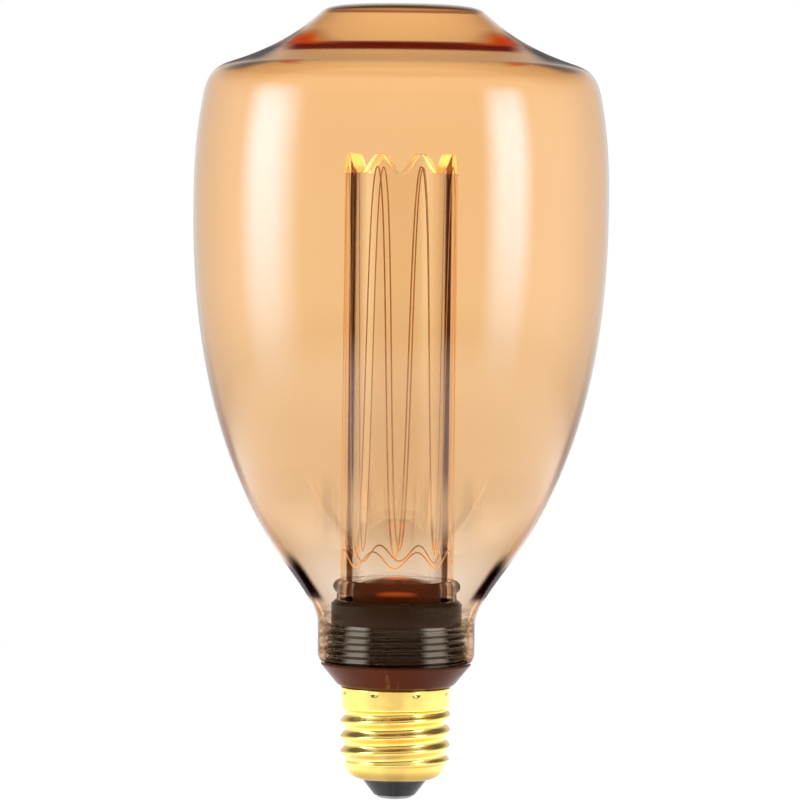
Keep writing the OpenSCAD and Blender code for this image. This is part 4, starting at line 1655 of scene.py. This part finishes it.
@dataclass(frozen=True)
class LightGuide:
    """The acrylic tube with its wavy end and engraved lines."""

    outer_r: float = 13.4
    bore_r: float = 10.6
    foot_z: float = 39.5
    crest_z: float = 152.7
    waves: int = 8
    wave_depth: float = 4.6
    edge_round: float = 0.22
    end_limit: float = 0.5
    columns: int = 512
    drop_foot: float = 58.0
    drop_height: float = 91.6
    drop_handles: Point2 = (0.57, 0.57)
    drop_steps: int = 40
    ring_z: float = 57.3
    ring_swing: float = 1.9
    ring_steps: int = 40
    line_w: float = 0.38
    line_depth: float = 0.26
    line_lip: float = 0.02
    groove_side: float = 0.75
    groove_drop: float = 0.45
    turn: float = math.radians(-2.3)

    def edge_z(self, a: float) -> float:
        """Height of the wavy end at an angle in radians."""
        return self.crest_z - self.wave_depth * (1 + math.cos(self.waves * (a - self.turn))) / 2

    def wall_ring(self, r: float, drop: float) -> list[Point3]:
        """A ring that runs below the wavy end by the given drop."""
        return [spot(r, a, self.edge_z(a) - drop) for a in steps_round(self.columns)]

    def flat_ring(self, r: float, z: float) -> list[Point3]:
        """A level ring."""
        return [spot(r, a, z) for a in steps_round(self.columns)]

    def build_tube(self) -> None:
        """Builds the tube with rounded rims."""
        e = self.edge_round
        turn = [math.radians(a) for a in (0, 30, 60, 90)]
        outside = [(self.outer_r - e * (1 - math.cos(a)), e * (1 - math.sin(a))) for a in turn]
        inside = [(self.bore_r + e * (1 - math.cos(a)), e * (1 - math.sin(a))) for a in reversed(turn)]
        rings = [self.flat_ring(self.outer_r, self.foot_z), self.wall_ring(self.outer_r, 2 * e)]
        rings += [self.wall_ring(r, drop) for r, drop in outside]
        rings += [self.wall_ring(r, drop) for r, drop in inside]
        rings += [self.wall_ring(self.bore_r, 2 * e), self.flat_ring(self.bore_r, self.foot_z)]
        points, faces = lofted(rings)

        def place(middle: Vector, normal: Vector) -> int:
            """Tells the side of the wall that a face belongs to.

            Args:
                middle: The face's middle, in millimetres.
                normal: The face's normal.

            Returns:
                The face's material index.
            """
            flat = Vector((middle.x, middle.y, 0.0))
            sideways = abs(flat.normalized().dot(normal))
            if sideways < self.end_limit:
                return TubeSide.END.value
            outside = flat.length > (self.outer_r + self.bore_r) / 2
            return TubeSide.OUTSIDE.value if outside else TubeSide.BORE.value

        piece(
            "light_guide_tube_polished",
            points,
            faces,
            [ACRYLIC.material(), BORE.material(), END_FACE.material()],
            ["light_guide_tube"],
            places=place,
            crease=35.0,
        )

    def drop_path(self) -> list[Point2]:
        """Angle in radians and height along the row of drop figures, once round the tube.

        Returns:
            The path's points.
        """
        low, high = self.drop_handles
        control = [(0.0, 0.0), (low, 0.0), (1 - high, 1.0), (1.0, 1.0)]
        made = []
        for k in range(self.waves):
            for i in range(1 - self.drop_steps, self.drop_steps + 1):
                across, up = bezier(control, abs(i) / self.drop_steps)
                side = -1 if i < 0 else 1
                angle = (2 * k + side * across) * math.pi / self.waves + self.turn
                made.append((angle, self.drop_foot + self.drop_height * up))
        return made

    def ring_path(self) -> list[Point2]:
        """Angle and height along the wave ring."""
        angles = steps_round(self.ring_steps * self.waves)
        return [(a + self.turn, self.ring_z - self.ring_swing * math.cos(self.waves * a)) for a in angles]

    def build_line(self, name: str, path: Sequence[Point2], finish: Finish) -> None:
        """Builds one engraved line as a narrow channel in the tube's wall.

        Args:
            name: Name of the piece.
            path: Angle and height along the line.
            finish: Its finish.
        """
        out = [Vector((math.cos(a), math.sin(a), 0.0)) for a, _ in path]
        route = [o * self.outer_r + Vector((0.0, 0.0, z)) for o, (_, z) in zip(out, path)]
        w, d, lip = self.line_w / 2, self.line_depth, self.line_lip
        side, drop = self.groove_side * w, self.groove_drop * d
        section = [(-w, lip), (-side, -drop), (0.0, -d), (side, -drop), (w, lip), (0.0, 2 * lip)]
        points, faces = bar(route, out, section)
        piece(name, points, faces, [finish.material()])

    def build(self) -> None:
        """Builds the tube and its lines."""
        self.build_tube()
        self.build_line("engraved_drops", self.drop_path(), DROP_LINE)
        self.build_line("engraved_wave_ring", self.ring_path(), WAVE_LINE)


@dataclass(frozen=True)
class TubeFoot:
    """What holds the light guide: silicone bead, plug and collar."""

    tube_r: float = LightGuide.outer_r
    collar_top: float = 47.1
    collar_r: float = 15.5
    chamfer: float = 0.9
    collar_foot: float = 38.8
    housing_top: float = 41.5
    spigot_r: float = 13.9
    guide_gap: float = 0.05
    gap: float = 0.03
    bead_w: float = 1.7
    lip_h: float = 1.5
    bead_h: float = 3.3
    plug_r: float = 10.5
    plug_side: float = 49.2
    dome_h: float = 3.2
    dome_steps: int = 28
    dimple_r: float = 3.8
    dimple_floor: float = 2.426
    plug_wall: float = 1.2
    plug_chamfer: float = 1.0
    columns: int = 192

    def build_gasket(self) -> None:
        """Builds the clear bead round the tube."""
        inner_r, foot_z = self.tube_r + self.gap, self.collar_top + self.gap
        bead_z, half_h = self.collar_top + self.lip_h, self.bead_h / 2
        arc = [math.radians(a) for a in range(-62, 88, 6)]
        outline = [
            (inner_r, foot_z),
            (self.tube_r + self.bead_w / 2, foot_z),
            *[(self.tube_r + self.bead_w * math.cos(a), bead_z + half_h * (1 + math.sin(a))) for a in arc],
            (inner_r, bead_z + self.bead_h),
        ]
        points, faces = turned(outline, self.columns)
        piece("tube_gasket_bead", points, faces, [SILICONE.material()], ["tube_gasket"])

    def build_plug(self) -> None:
        """Builds the plug with its dome and dimple."""
        rim = math.acos(self.dimple_r / self.plug_r)
        floor_z = self.plug_side + self.dimple_floor
        turns = [rim * i / self.dome_steps for i in range(self.dome_steps + 1)]
        dome = [(self.plug_r * math.cos(a), self.plug_side + self.dome_h * math.sin(a)) for a in turns]
        brim_h = dome[-1][1] - floor_z
        arc = [math.radians(a) for a in range(8, 96, 8)]
        dimple = [(self.dimple_r * math.cos(a), floor_z + brim_h * (1 - math.sin(a))) for a in arc]
        outline = [
            (self.plug_r - self.plug_wall, self.collar_foot),
            (self.plug_r, self.collar_foot),
            *dome,
            *dimple,
            (0.0, floor_z),
            (0.0, self.plug_side),
            (self.plug_r - self.plug_wall - self.plug_chamfer, self.plug_side),
            (self.plug_r - self.plug_wall, self.plug_side - self.plug_chamfer),
        ]
        points, faces = turned(outline, self.columns)
        replaced = ["inner_plug"]
        piece("inner_plug_domed", points, faces, [PLUG.material()], replaced, crease=50.0)

    def build_collar(self) -> None:
        """Builds the collar with its chamfered top."""
        guide_r = self.tube_r + self.guide_gap
        # Each corner is a radius, a height and a rounding radius
        outline = rounded([
            (guide_r, self.collar_foot, 0.1),
            (self.spigot_r, self.collar_foot, 0.1),
            (self.spigot_r, self.housing_top, 0.0),
            (self.collar_r, self.housing_top, 0.12),
            (self.collar_r, self.collar_top - self.chamfer, 0.3),
            (self.collar_r - self.chamfer, self.collar_top, 0.25),
            (guide_r, self.collar_top, 0.15),
        ])
        points, faces = turned(outline, self.columns)
        piece("tube_collar_moulded", points, faces, [COLLAR.material()], ["tube_collar"])

    def build(self) -> None:
        """Builds the three pieces."""
        self.build_gasket()
        self.build_plug()
        self.build_collar()


@dataclass(frozen=True)
class BaseHousing:
    """The brown housing between glass and cap, with its ridged neck wall."""

    sleeve_z: float = 11.8
    board_z: float = 13.0
    band_z: float = 21.9
    cap_top: float = 26.5
    cone_top: float = GlassEnvelope.lip_z
    cup_floor: float = 35.2
    top: float = TubeFoot.housing_top
    hole_r: float = 6.0
    sleeve_r: float = 11.55
    sleeve_bore_r: float = 10.35
    seat_r: float = 12.45
    seat_foot: float = 0.5
    seat_top: float = 1.4
    cone_foot_r: float = 12.8
    cone_small_r: float = 14.0
    cone_chamfer: float = 0.7
    cone_large_r: float = 17.8
    lip_h: float = 0.5
    lip_draft: float = 0.1
    foot_r: float = 16.8
    ridge_r: float = 15.9
    cup_r: float = 14.0
    well_r: float = 12.4
    well_drop: float = 1.0
    bore_rise: float = 0.6
    ridge_depth: float = 0.5
    skin_lift: float = 0.1
    ridge_pitch: float = 1.6
    ridge_ease: float = 0.5
    ridge_sink: float = 0.15
    ridge_drop: float = 0.2
    ridge_rows: int = 240
    band_back: float = 0.4
    cement_drop: float = 0.8
    meniscus: float = 0.4
    ridge_gap: float = 0.05
    glass_gap: float = 0.02
    rib_in: float = 7.5
    rib_out: float = 0.6
    rib_gap: float = 0.65
    rib_w: float = 1.0
    rib_taper: float = 0.85
    rib_sink: float = 0.2
    rib_round: float = 0.12
    glass_bore_r: float = GlassEnvelope.neck_r - GlassEnvelope.neck_wall
    columns: int = 192

    def crest_at(self, z: float) -> float:
        """Radius over the ridges at a height."""
        return mix(self.foot_r, self.ridge_r, (z - self.cone_top) / (self.top - self.cone_top))

    def core_at(self, z: float) -> float:
        """Radius of the neck wall under its ridges at a height."""
        return self.crest_at(z) - self.ridge_depth - self.skin_lift

    def build_body(self) -> None:
        """Builds the turned body."""
        # Each corner is a radius, a height and a rounding radius
        outline = rounded([
            (self.hole_r, self.sleeve_z, 0.1),
            (self.sleeve_r, self.sleeve_z, 0.2),
            (self.sleeve_r, self.band_z + self.seat_foot, 0.2),
            (self.seat_r, self.band_z + self.seat_top, 0.2),
            (self.seat_r, self.cap_top, 0.05),
            (self.cone_foot_r, self.cap_top, 0.05),
            (self.cone_small_r, self.cap_top + self.cone_chamfer, 0.35),
            (self.cone_large_r, self.cone_top - self.lip_h, 0.25),
            (self.cone_large_r - self.lip_draft, self.cone_top, 0.12),
            (self.core_at(self.cone_top), self.cone_top, 0.1),
            (self.core_at(self.top), self.top, 0.15),
            (self.cup_r, self.top, 0.15),
            (self.cup_r, self.cup_floor, 0.0),
            (self.well_r, self.cup_floor, 0.1),
            (self.well_r, self.cone_top - self.well_drop, 0.2),
            (self.sleeve_bore_r, self.cap_top + self.bore_rise, 0.2),
            (self.sleeve_bore_r, self.board_z, 0.2),
            (self.hole_r, self.board_z, 0.1),
        ])
        points, faces = turned(outline, self.columns)

        def place(middle: Vector, normal: Vector) -> int:
            """1 above the cone's lip, where the plastic is nearly black."""
            return int(middle.z > self.cone_top)

        piece(
            "base_housing_moulded",
            points,
            faces,
            [HOUSING.material(), RIDGES.material()],
            ["base_housing"],
            places=place,
        )

    def build_ridges(self) -> None:
        """Builds the helical ridges round the neck wall as one closed band."""
        low, high = self.cone_top - self.ridge_sink, self.top - self.ridge_drop
        angles = steps_round(self.columns)
        rings = []
        for i in range(self.ridge_rows + 1):
            z = mix(low, high, i / self.ridge_rows)
            fade = smooth((z - low) / self.ridge_ease) * smooth((high - z) / self.ridge_ease)
            ring = []
            for a in angles:
                lift = 0.5 + 0.5 * math.cos(math.tau * z / self.ridge_pitch - a)
                r = self.core_at(z) + self.skin_lift + self.ridge_depth * lift * fade
                ring.append(spot(r, a, z))
            rings.append(ring)
        for z in (high, low):
            rings.append([spot(self.core_at(z) - self.band_back, a, z) for a in angles])
        points, faces = lofted(rings)
        piece("neck_ridges", points, faces, [RIDGES.material()])

    def build_ribs(self) -> None:
        """Builds the four upright ribs that hold the driver board inside the sleeve."""
        for index, (side, row) in enumerate(((1, 1), (1, -1), (-1, 1), (-1, -1))):
            work = bmesh.new()
            bmesh.ops.create_cube(work, size=1.0)
            length, height = self.sleeve_r - self.rib_out - self.rib_in, self.cap_top - self.board_z
            middle_z = self.board_z - self.rib_sink + height / 2
            for v in work.verts:
                width = self.rib_w * (self.rib_taper if v.co.z > 0 else 1.0)
                x = side * (self.rib_in + length / 2 + v.co.x * length)
                y = row * (self.rib_gap + self.rib_w / 2) + v.co.y * width
                v.co = Vector((x, y, middle_z + v.co.z * height))
            bmesh.ops.bevel(work, geom=work.edges[:], offset=self.rib_round, segments=3, affect="EDGES")
            points = [tuple(v.co) for v in work.verts]
            work.verts.index_update()
            faces = [[v.index for v in f.verts] for f in work.faces]
            work.free()
            piece(f"board_rib_{index + 1}", points, faces, [HOUSING.material()])

    def build_adhesive(self) -> None:
        """Builds the clear cement between the neck wall and the glass."""
        gap, out_r = self.ridge_gap, self.glass_bore_r - self.glass_gap
        top = self.top - self.cement_drop
        # Each corner is a radius, a height and a rounding radius
        outline = rounded([
            (self.crest_at(self.cone_top) + gap, self.cone_top, 0.0),
            (out_r, self.cone_top, 0.05),
            (out_r, top, 0.2),
            (self.crest_at(top) + gap, top - self.meniscus, 0.15),
        ])
        points, faces = turned(outline, self.columns)
        piece("neck_adhesive_ring", points, faces, [CEMENT.material()], ["neck_adhesive"])

    def build(self) -> None:
        """Builds the housing and the cement."""
        self.build_body()
        self.build_ridges()
        self.build_ribs()
        self.build_adhesive()


@dataclass(frozen=True)
class ScrewCap:
    """The brass screw cap with its insulator and centre contact."""

    mouth_z: float = 4.6
    thread_z: float = 8.2
    band_z: float = BaseHousing.band_z
    top: float = BaseHousing.cap_top
    crest_r: float = 13.1
    root_r: float = 12.1
    band_r: float = 13.0
    mouth_r: float = 7.7
    wall: float = 0.45
    pitch: float = 3.629
    crest_at: float = 1.8
    sharp: float = 1.2
    thread_lead: float = 0.2
    thread_ease: float = 1.6
    band_lead: float = 1.0
    rim_round: float = 0.2
    bottom_sweep: float = 85.0
    bottom_rows: int = 9
    thread_rows: int = 132
    band_rows: int = 40
    dots: int = 8
    dot_d: float = 1.56
    dot_drop: float = 0.9
    dot_depth: float = 0.2
    contact_r: float = 4.2
    contact_flat_r: float = 2.5
    contact_h: float = 0.8
    dome_h: float = 0.56
    rivet_r: float = 1.6
    head_r: float = 2.3
    head_side: float = 0.2
    head_draft: float = 0.05
    head_chamfer: float = 0.3
    tip_r: float = 4.85
    rivet_gap: float = 0.05
    mouth_gap: float = 0.1
    collar_h: float = 0.3
    flange_w: float = 1.2
    flange_slope: float = 0.4
    flange_top: float = 6.65
    rivet_top: float = 7.25
    columns: int = 216

    def surface_r(self, z: float, a: float) -> float:
        """Radius of the threaded wall.

        Args:
            z: Height.
            a: Angle in radians.

        Returns:
            The radius.
        """
        wave = (0.5 + 0.5 * math.cos(math.tau * (z - self.crest_at) / self.pitch - a)) ** self.sharp
        lift = wave * smooth((z - self.thread_z + self.thread_lead) / self.thread_ease)
        thread_r = mix(self.root_r, self.crest_r, lift)
        return mix(thread_r, self.band_r, smooth(z - self.band_z + self.band_lead))

    def dot_dent(self, z: float, a: float) -> float:
        """Depth of the crimp dots in the band at a place.

        Args:
            z: Height.
            a: Angle in radians.

        Returns:
            The depth.
        """
        step = math.tau / self.dots
        off = a % step - step / 2
        near = math.hypot(off * self.band_r, z - (self.top - self.dot_drop)) / (self.dot_d / 2)
        return self.dot_depth * (1 - smooth(near))

    def build_shell(self) -> None:
        """Builds the shell: rounded bottom, thread, band with crimp dots, and rolled top rim."""
        angles = steps_round(self.columns)

        def ring(radius: Callable[[float], float], z: float) -> list[Point3]:
            """A ring whose radius depends on the angle."""
            return [spot(radius(a), a, z) for a in angles]

        outside: list[tuple[Callable[[float], float], float, Point2]] = []
        for i in range(self.bottom_rows):
            t = math.radians(self.bottom_sweep * i / self.bottom_rows)
            r = mix(self.mouth_r, self.root_r, math.sin(t))
            z = mix(self.mouth_z, self.thread_z, 1 - math.cos(t))
            outside.append((lambda a, r=r: r, z, (math.sin(t), 1 - math.sin(t))))
        for i in range(self.thread_rows + 1):
            z = mix(self.thread_z, self.band_z, i / self.thread_rows)
            outside.append((lambda a, z=z: self.surface_r(z, a), z, (1.0, 0.0)))
        rim = self.rim_round
        for i in range(1, self.band_rows + 1):
            z = mix(self.band_z, self.top - rim, i / self.band_rows)
            outside.append((lambda a, z=z: self.band_r - self.dot_dent(z, a), z, (1.0, 0.0)))
        rings = [ring(radius, z) for radius, z, _ in outside]
        for a in (30, 60, 90):
            r = self.band_r - rim * (1 - math.cos(math.radians(a)))
            rings.append(ring(lambda _, r=r: r, self.top - rim + rim * math.sin(math.radians(a))))
        rings.append(ring(lambda _: self.band_r - self.wall, self.top))
        for radius, z, (out, up) in reversed(outside):
            shift = self.wall * out
            rings.append(ring(lambda a, radius=radius, shift=shift: radius(a) - shift, z + self.wall * up))
        points, faces = lofted(rings)
        piece("cap_shell_rolled", points, faces, [BRASS.material()], ["cap_shell"], crease=50.0)

    def build_insulator(self) -> None:
        """Builds the black insulator."""
        hole_r, collar_r = self.rivet_r + self.rivet_gap, self.mouth_r - self.mouth_gap
        flange_r, flange_z = self.mouth_r + self.flange_w, self.mouth_z + self.wall
        # Each corner is a radius, a height and a rounding radius
        outline = rounded([
            (hole_r, self.contact_h, 0.0),
            (self.tip_r, self.contact_h, 0.25),
            (collar_r, self.mouth_z - self.collar_h, 0.3),
            (collar_r, flange_z, 0.0),
            (flange_r, flange_z + self.flange_slope, 0.15),
            (flange_r, self.flange_top, 0.2),
            (hole_r, self.flange_top, 0.0),
        ])
        points, faces = turned(outline, self.columns)
        piece("cap_insulator_glazed", points, faces, [BLACK.material()], ["cap_insulator"])

    def build_contact(self) -> None:
        """Builds the contact button with its rivet."""
        edge = self.contact_r - self.contact_flat_r
        dome = [
            (self.contact_flat_r + edge * math.sin(a), self.dome_h * (1 - math.cos(a)))
            for a in [math.radians(6 * i) for i in range(16)]
        ]
        outline = [
            (0.0, 0.0),
            *dome,
            (self.contact_r, self.contact_h),
            (self.rivet_r, self.contact_h),
            (self.rivet_r, self.flange_top),
            (self.head_r, self.flange_top),
            (self.head_r - self.head_draft, self.flange_top + self.head_side),
            (self.head_r - self.head_chamfer, self.rivet_top),
            (0.0, self.rivet_top),
        ]
        points, faces = turned(outline, self.columns, closed=False)
        replaced = ["centre_contact"]
        piece("centre_contact_button", points, faces, [CONTACT.material()], replaced)

    def build(self) -> None:
        """Builds the cap's three pieces."""
        self.build_shell()
        self.build_insulator()
        self.build_contact()


class Electronics:
    """The LED board and the driver, which stay as the frame has them."""

    finishes: dict[str, Finish] = {
        "heat_spreader": SPREADER,
        "led_board": LED_BOARD,
        "led_chips": LedPackage(),
        "board_screws": STEEL,
        "driver_board": DRIVER_BOARD,
        "electrolytic_capacitor": CAN_SLEEVE,
        "inductor": DARK_PART,
        "bridge_rectifier": DARK_PART,
        "driver_ic": DARK_PART,
        "fusible_resistor": RESISTOR,
        "live_wire": RED_WIRE,
        "neutral_wire": BLUE_WIRE,
        "led_lead_positive": RED_WIRE,
        "led_lead_negative": BLACK_WIRE,
    }

    def build(self) -> None:
        """Dresses each node."""
        for node, finish in self.finishes.items():
            dress(node, finish)


# Studio


def plain_view(board: Board, limit: float = 0.5) -> Socket:
    """1 for a ray from the camera that has only passed through things, and 0 for any other.

    Args:
        board: The material's tree.
        limit: Most turns that count as none. The world counts one turn too many.

    Returns:
        The mask.
    """
    rays = board.add("LightPath").outputs
    turned_back = board.math("SUBTRACT", rays["Ray Depth"], rays["Transmission Depth"])
    straight = board.math("LESS_THAN", turned_back, limit)
    return board.most(rays[Ray.CAMERA.value], board.times(rays[Ray.TRANSMISSION.value], straight))


@dataclass(frozen=True)
class Softbox:
    """A tall lit card beside the lamp, in metres, which only mirrors and lit surfaces see."""

    name: str
    bearing: float
    width: float
    side_fade: float
    distance: float = 0.22
    height: float = 0.28
    foot_z: float = 0.001
    radiance: float = 8.5
    colour: Colour = (0.35, 0.68, 1.0)
    foot_rise: Step = (-0.5, 0.15)
    head_fall: Step = (0.2, 0.5)

    def material(self) -> bpy.types.Material:
        """Light that fades towards the card's sides, foot and head.

        Returns:
            The card's material.
        """
        made = bpy.data.materials.new(self.name)
        board = bare_board(made)
        x, y, _ = board.axes(board.place())
        across = board.math("DIVIDE", board.math("ABSOLUTE", x), self.width / 2)
        side = board.fall(across, 1 - self.side_fade, 1.0)
        up = board.math("DIVIDE", y, self.height)
        lit = board.times(side, board.span(up, *self.foot_rise), board.fall(up, *self.head_fall))
        back = board.add("NewGeometry").outputs["Backfacing"]
        hidden = board.most(plain_view(board), back, board.rest(lit))
        shown = board.join(hidden, board.shine(self.radiance, self.colour), board.clear())
        board.feed(board.add("OutputMaterial").inputs["Surface"], shown)
        return made

    def build(self) -> None:
        """Builds the card, which faces the lamp's axis."""
        mesh = bpy.data.meshes.new(self.name)
        w, h = self.width / 2, self.height / 2
        mesh.from_pydata([(-w, -h, 0), (w, -h, 0), (w, h, 0), (-w, h, 0)], [], [(0, 1, 2, 3)])
        mesh.materials.append(self.material())
        made = show(self.name, mesh)
        a = math.radians(self.bearing)
        made.location = (self.distance * math.sin(a), -self.distance * math.cos(a), self.foot_z + h)
        made.rotation_euler = (math.pi / 2, 0.0, a + math.pi)
        made.visible_shadow = False
        log.info("%s: bearing %.0f degrees", self.name, self.bearing)


@dataclass(frozen=True)
class Studio:
    """Camera, white surroundings, floor and lights."""

    frame_width: float = 189.4
    camera_distance: float = 1200.0
    camera_z: float = 140.0
    aim_z: float = 94.5
    aim_x: float = 0.25
    roll: float = 0.67
    sensor_width: float = 36.0
    clip_range: Step = (0.01, 50.0)
    floor_r: float = 4.0
    paper_tone: Step = (0.78, 0.82)
    shadow_reach: Step = (60.0, 420.0)
    shadow_share: float = 0.18
    shadow_lift: float = 1.1
    near_front: Step = (0.9, 0.99)
    near_front_light: float = 0.8
    near_reach: Step = (8.0, 32.0)
    near_light: Step = (0.7, 1.8)
    far_reach: Step = (220.0, 460.0)
    softboxes: tuple[Softbox, ...] = (
        Softbox("left_softbox", bearing=-72.0, width=0.18, side_fade=0.9),
        Softbox("right_softbox", bearing=56.0, width=0.13, side_fade=0.8),
    )

    def build_camera(self) -> None:
        """A camera a little above the lamp's middle, turned by the photo's small roll."""
        data = bpy.data.cameras.new("camera")
        made = show("camera", data)
        place = Vector((self.aim_x, -self.camera_distance, self.camera_z)) * MM
        aim = Vector((self.aim_x, 0.0, self.aim_z)) * MM
        made.location = place
        look = (aim - place).to_track_quat("-Z", "Y").to_matrix().to_4x4()
        made.rotation_euler = (look @ Matrix.Rotation(math.radians(self.roll), 4, "Z")).to_euler()
        data.sensor_width = self.sensor_width
        data.lens = self.sensor_width * (aim - place).length / MM / self.frame_width
        data.clip_start, data.clip_end = self.clip_range
        bpy.context.scene.camera = made

    def build_world(self) -> None:
        """White behind the lamp, and the room's light in everything that mirrors it."""
        world = bpy.data.worlds.new("studio")
        bpy.context.scene.world = world
        board = bare_board(world)
        x, y, z = board.axes(board.add("TexCoord").outputs["Generated"])
        room = RoomLight().place(board, X=x, Y=y, Z=z)["Value"]
        back = board.add("Background")
        board.feed(back.inputs["Color"], board.blend(plain_view(board, 1.5), room, WHITE))
        board.feed(board.add("OutputWorld").inputs["Surface"], back.outputs[0])

    def build_floor(self) -> None:
        """A pale round floor under the lamp that keeps its shadow."""
        mesh = bpy.data.meshes.new("floor")
        work = bmesh.new()
        bmesh.ops.create_circle(work, cap_ends=True, segments=96, radius=self.floor_r)
        work.to_mesh(mesh)
        work.free()
        show("floor", mesh)
        material = bpy.data.materials.new("floor_paper")
        board = bare_board(material)
        seen = board.join(plain_view(board), self.mirrored_floor(board), self.seen_floor(board))
        board.feed(board.add("OutputMaterial").inputs["Surface"], seen)
        mesh.materials.append(material)

    def seen_floor(self, board: Board) -> Socket:
        """What the camera sees: white, with some of the lamp's shadow near its foot.

        Args:
            board: The material's tree.

        Returns:
            The shader's socket.
        """
        paper = board.add("BsdfDiffuse")
        low, high = self.paper_tone
        board.feed(paper.inputs["Color"], UnevenTone().place(board, Scale=14.0, Low=low, High=high)["Value"])
        near = board.span(board.radius(), *self.shadow_reach, self.shadow_share, 0.0)
        strength = board.math("ADD", 1.0, board.times(near, self.shadow_lift))
        return board.join(near, board.shine(strength), paper.outputs[0])

    def mirrored_floor(self, board: Board) -> Socket:
        """What mirrors see: paper lit from all round close by, and the room's own light far out.

        Args:
            board: The material's tree.

        Returns:
            The shader's socket.
        """
        way = board.add("VectorMath", operation="NORMALIZE")
        board.feed(way.inputs[0], board.place())
        x, y, _ = board.axes(way.outputs[0])
        around = board.span(board.times(y, -1.0), *self.near_front, 1.0, self.near_front_light)
        close = board.times(around, board.span(board.radius(), *self.near_reach, *self.near_light))
        room = RoomLight().place(board, X=x, Y=y, Z=0.0)["Value"]
        return board.join(board.span(board.radius(), *self.far_reach), board.shine(close), board.shine(room))

    def build(self) -> None:
        """Builds everything round the lamp."""
        scene = bpy.context.scene
        scene.view_settings.view_transform = "Standard"
        scene.cycles.max_bounces = 32
        scene.cycles.transmission_bounces = 28
        scene.cycles.transparent_max_bounces = 24
        scene.cycles.glossy_bounces = 12
        self.build_camera()
        self.build_world()
        self.build_floor()
        for light in self.softboxes:
            light.build()


def main() -> None:
    """Builds the studio and the lamp."""
    logging.basicConfig(level=logging.INFO, format="%(name)s: %(message)s")
    for part in (
        Studio(),
        GlassEnvelope(),
        LightGuide(),
        TubeFoot(),
        BaseHousing(),
        ScrewCap(),
        Electronics(),
    ):
        log.info("building %s", type(part).__name__)
        part.build()


if __name__ == "__main__":
    main()
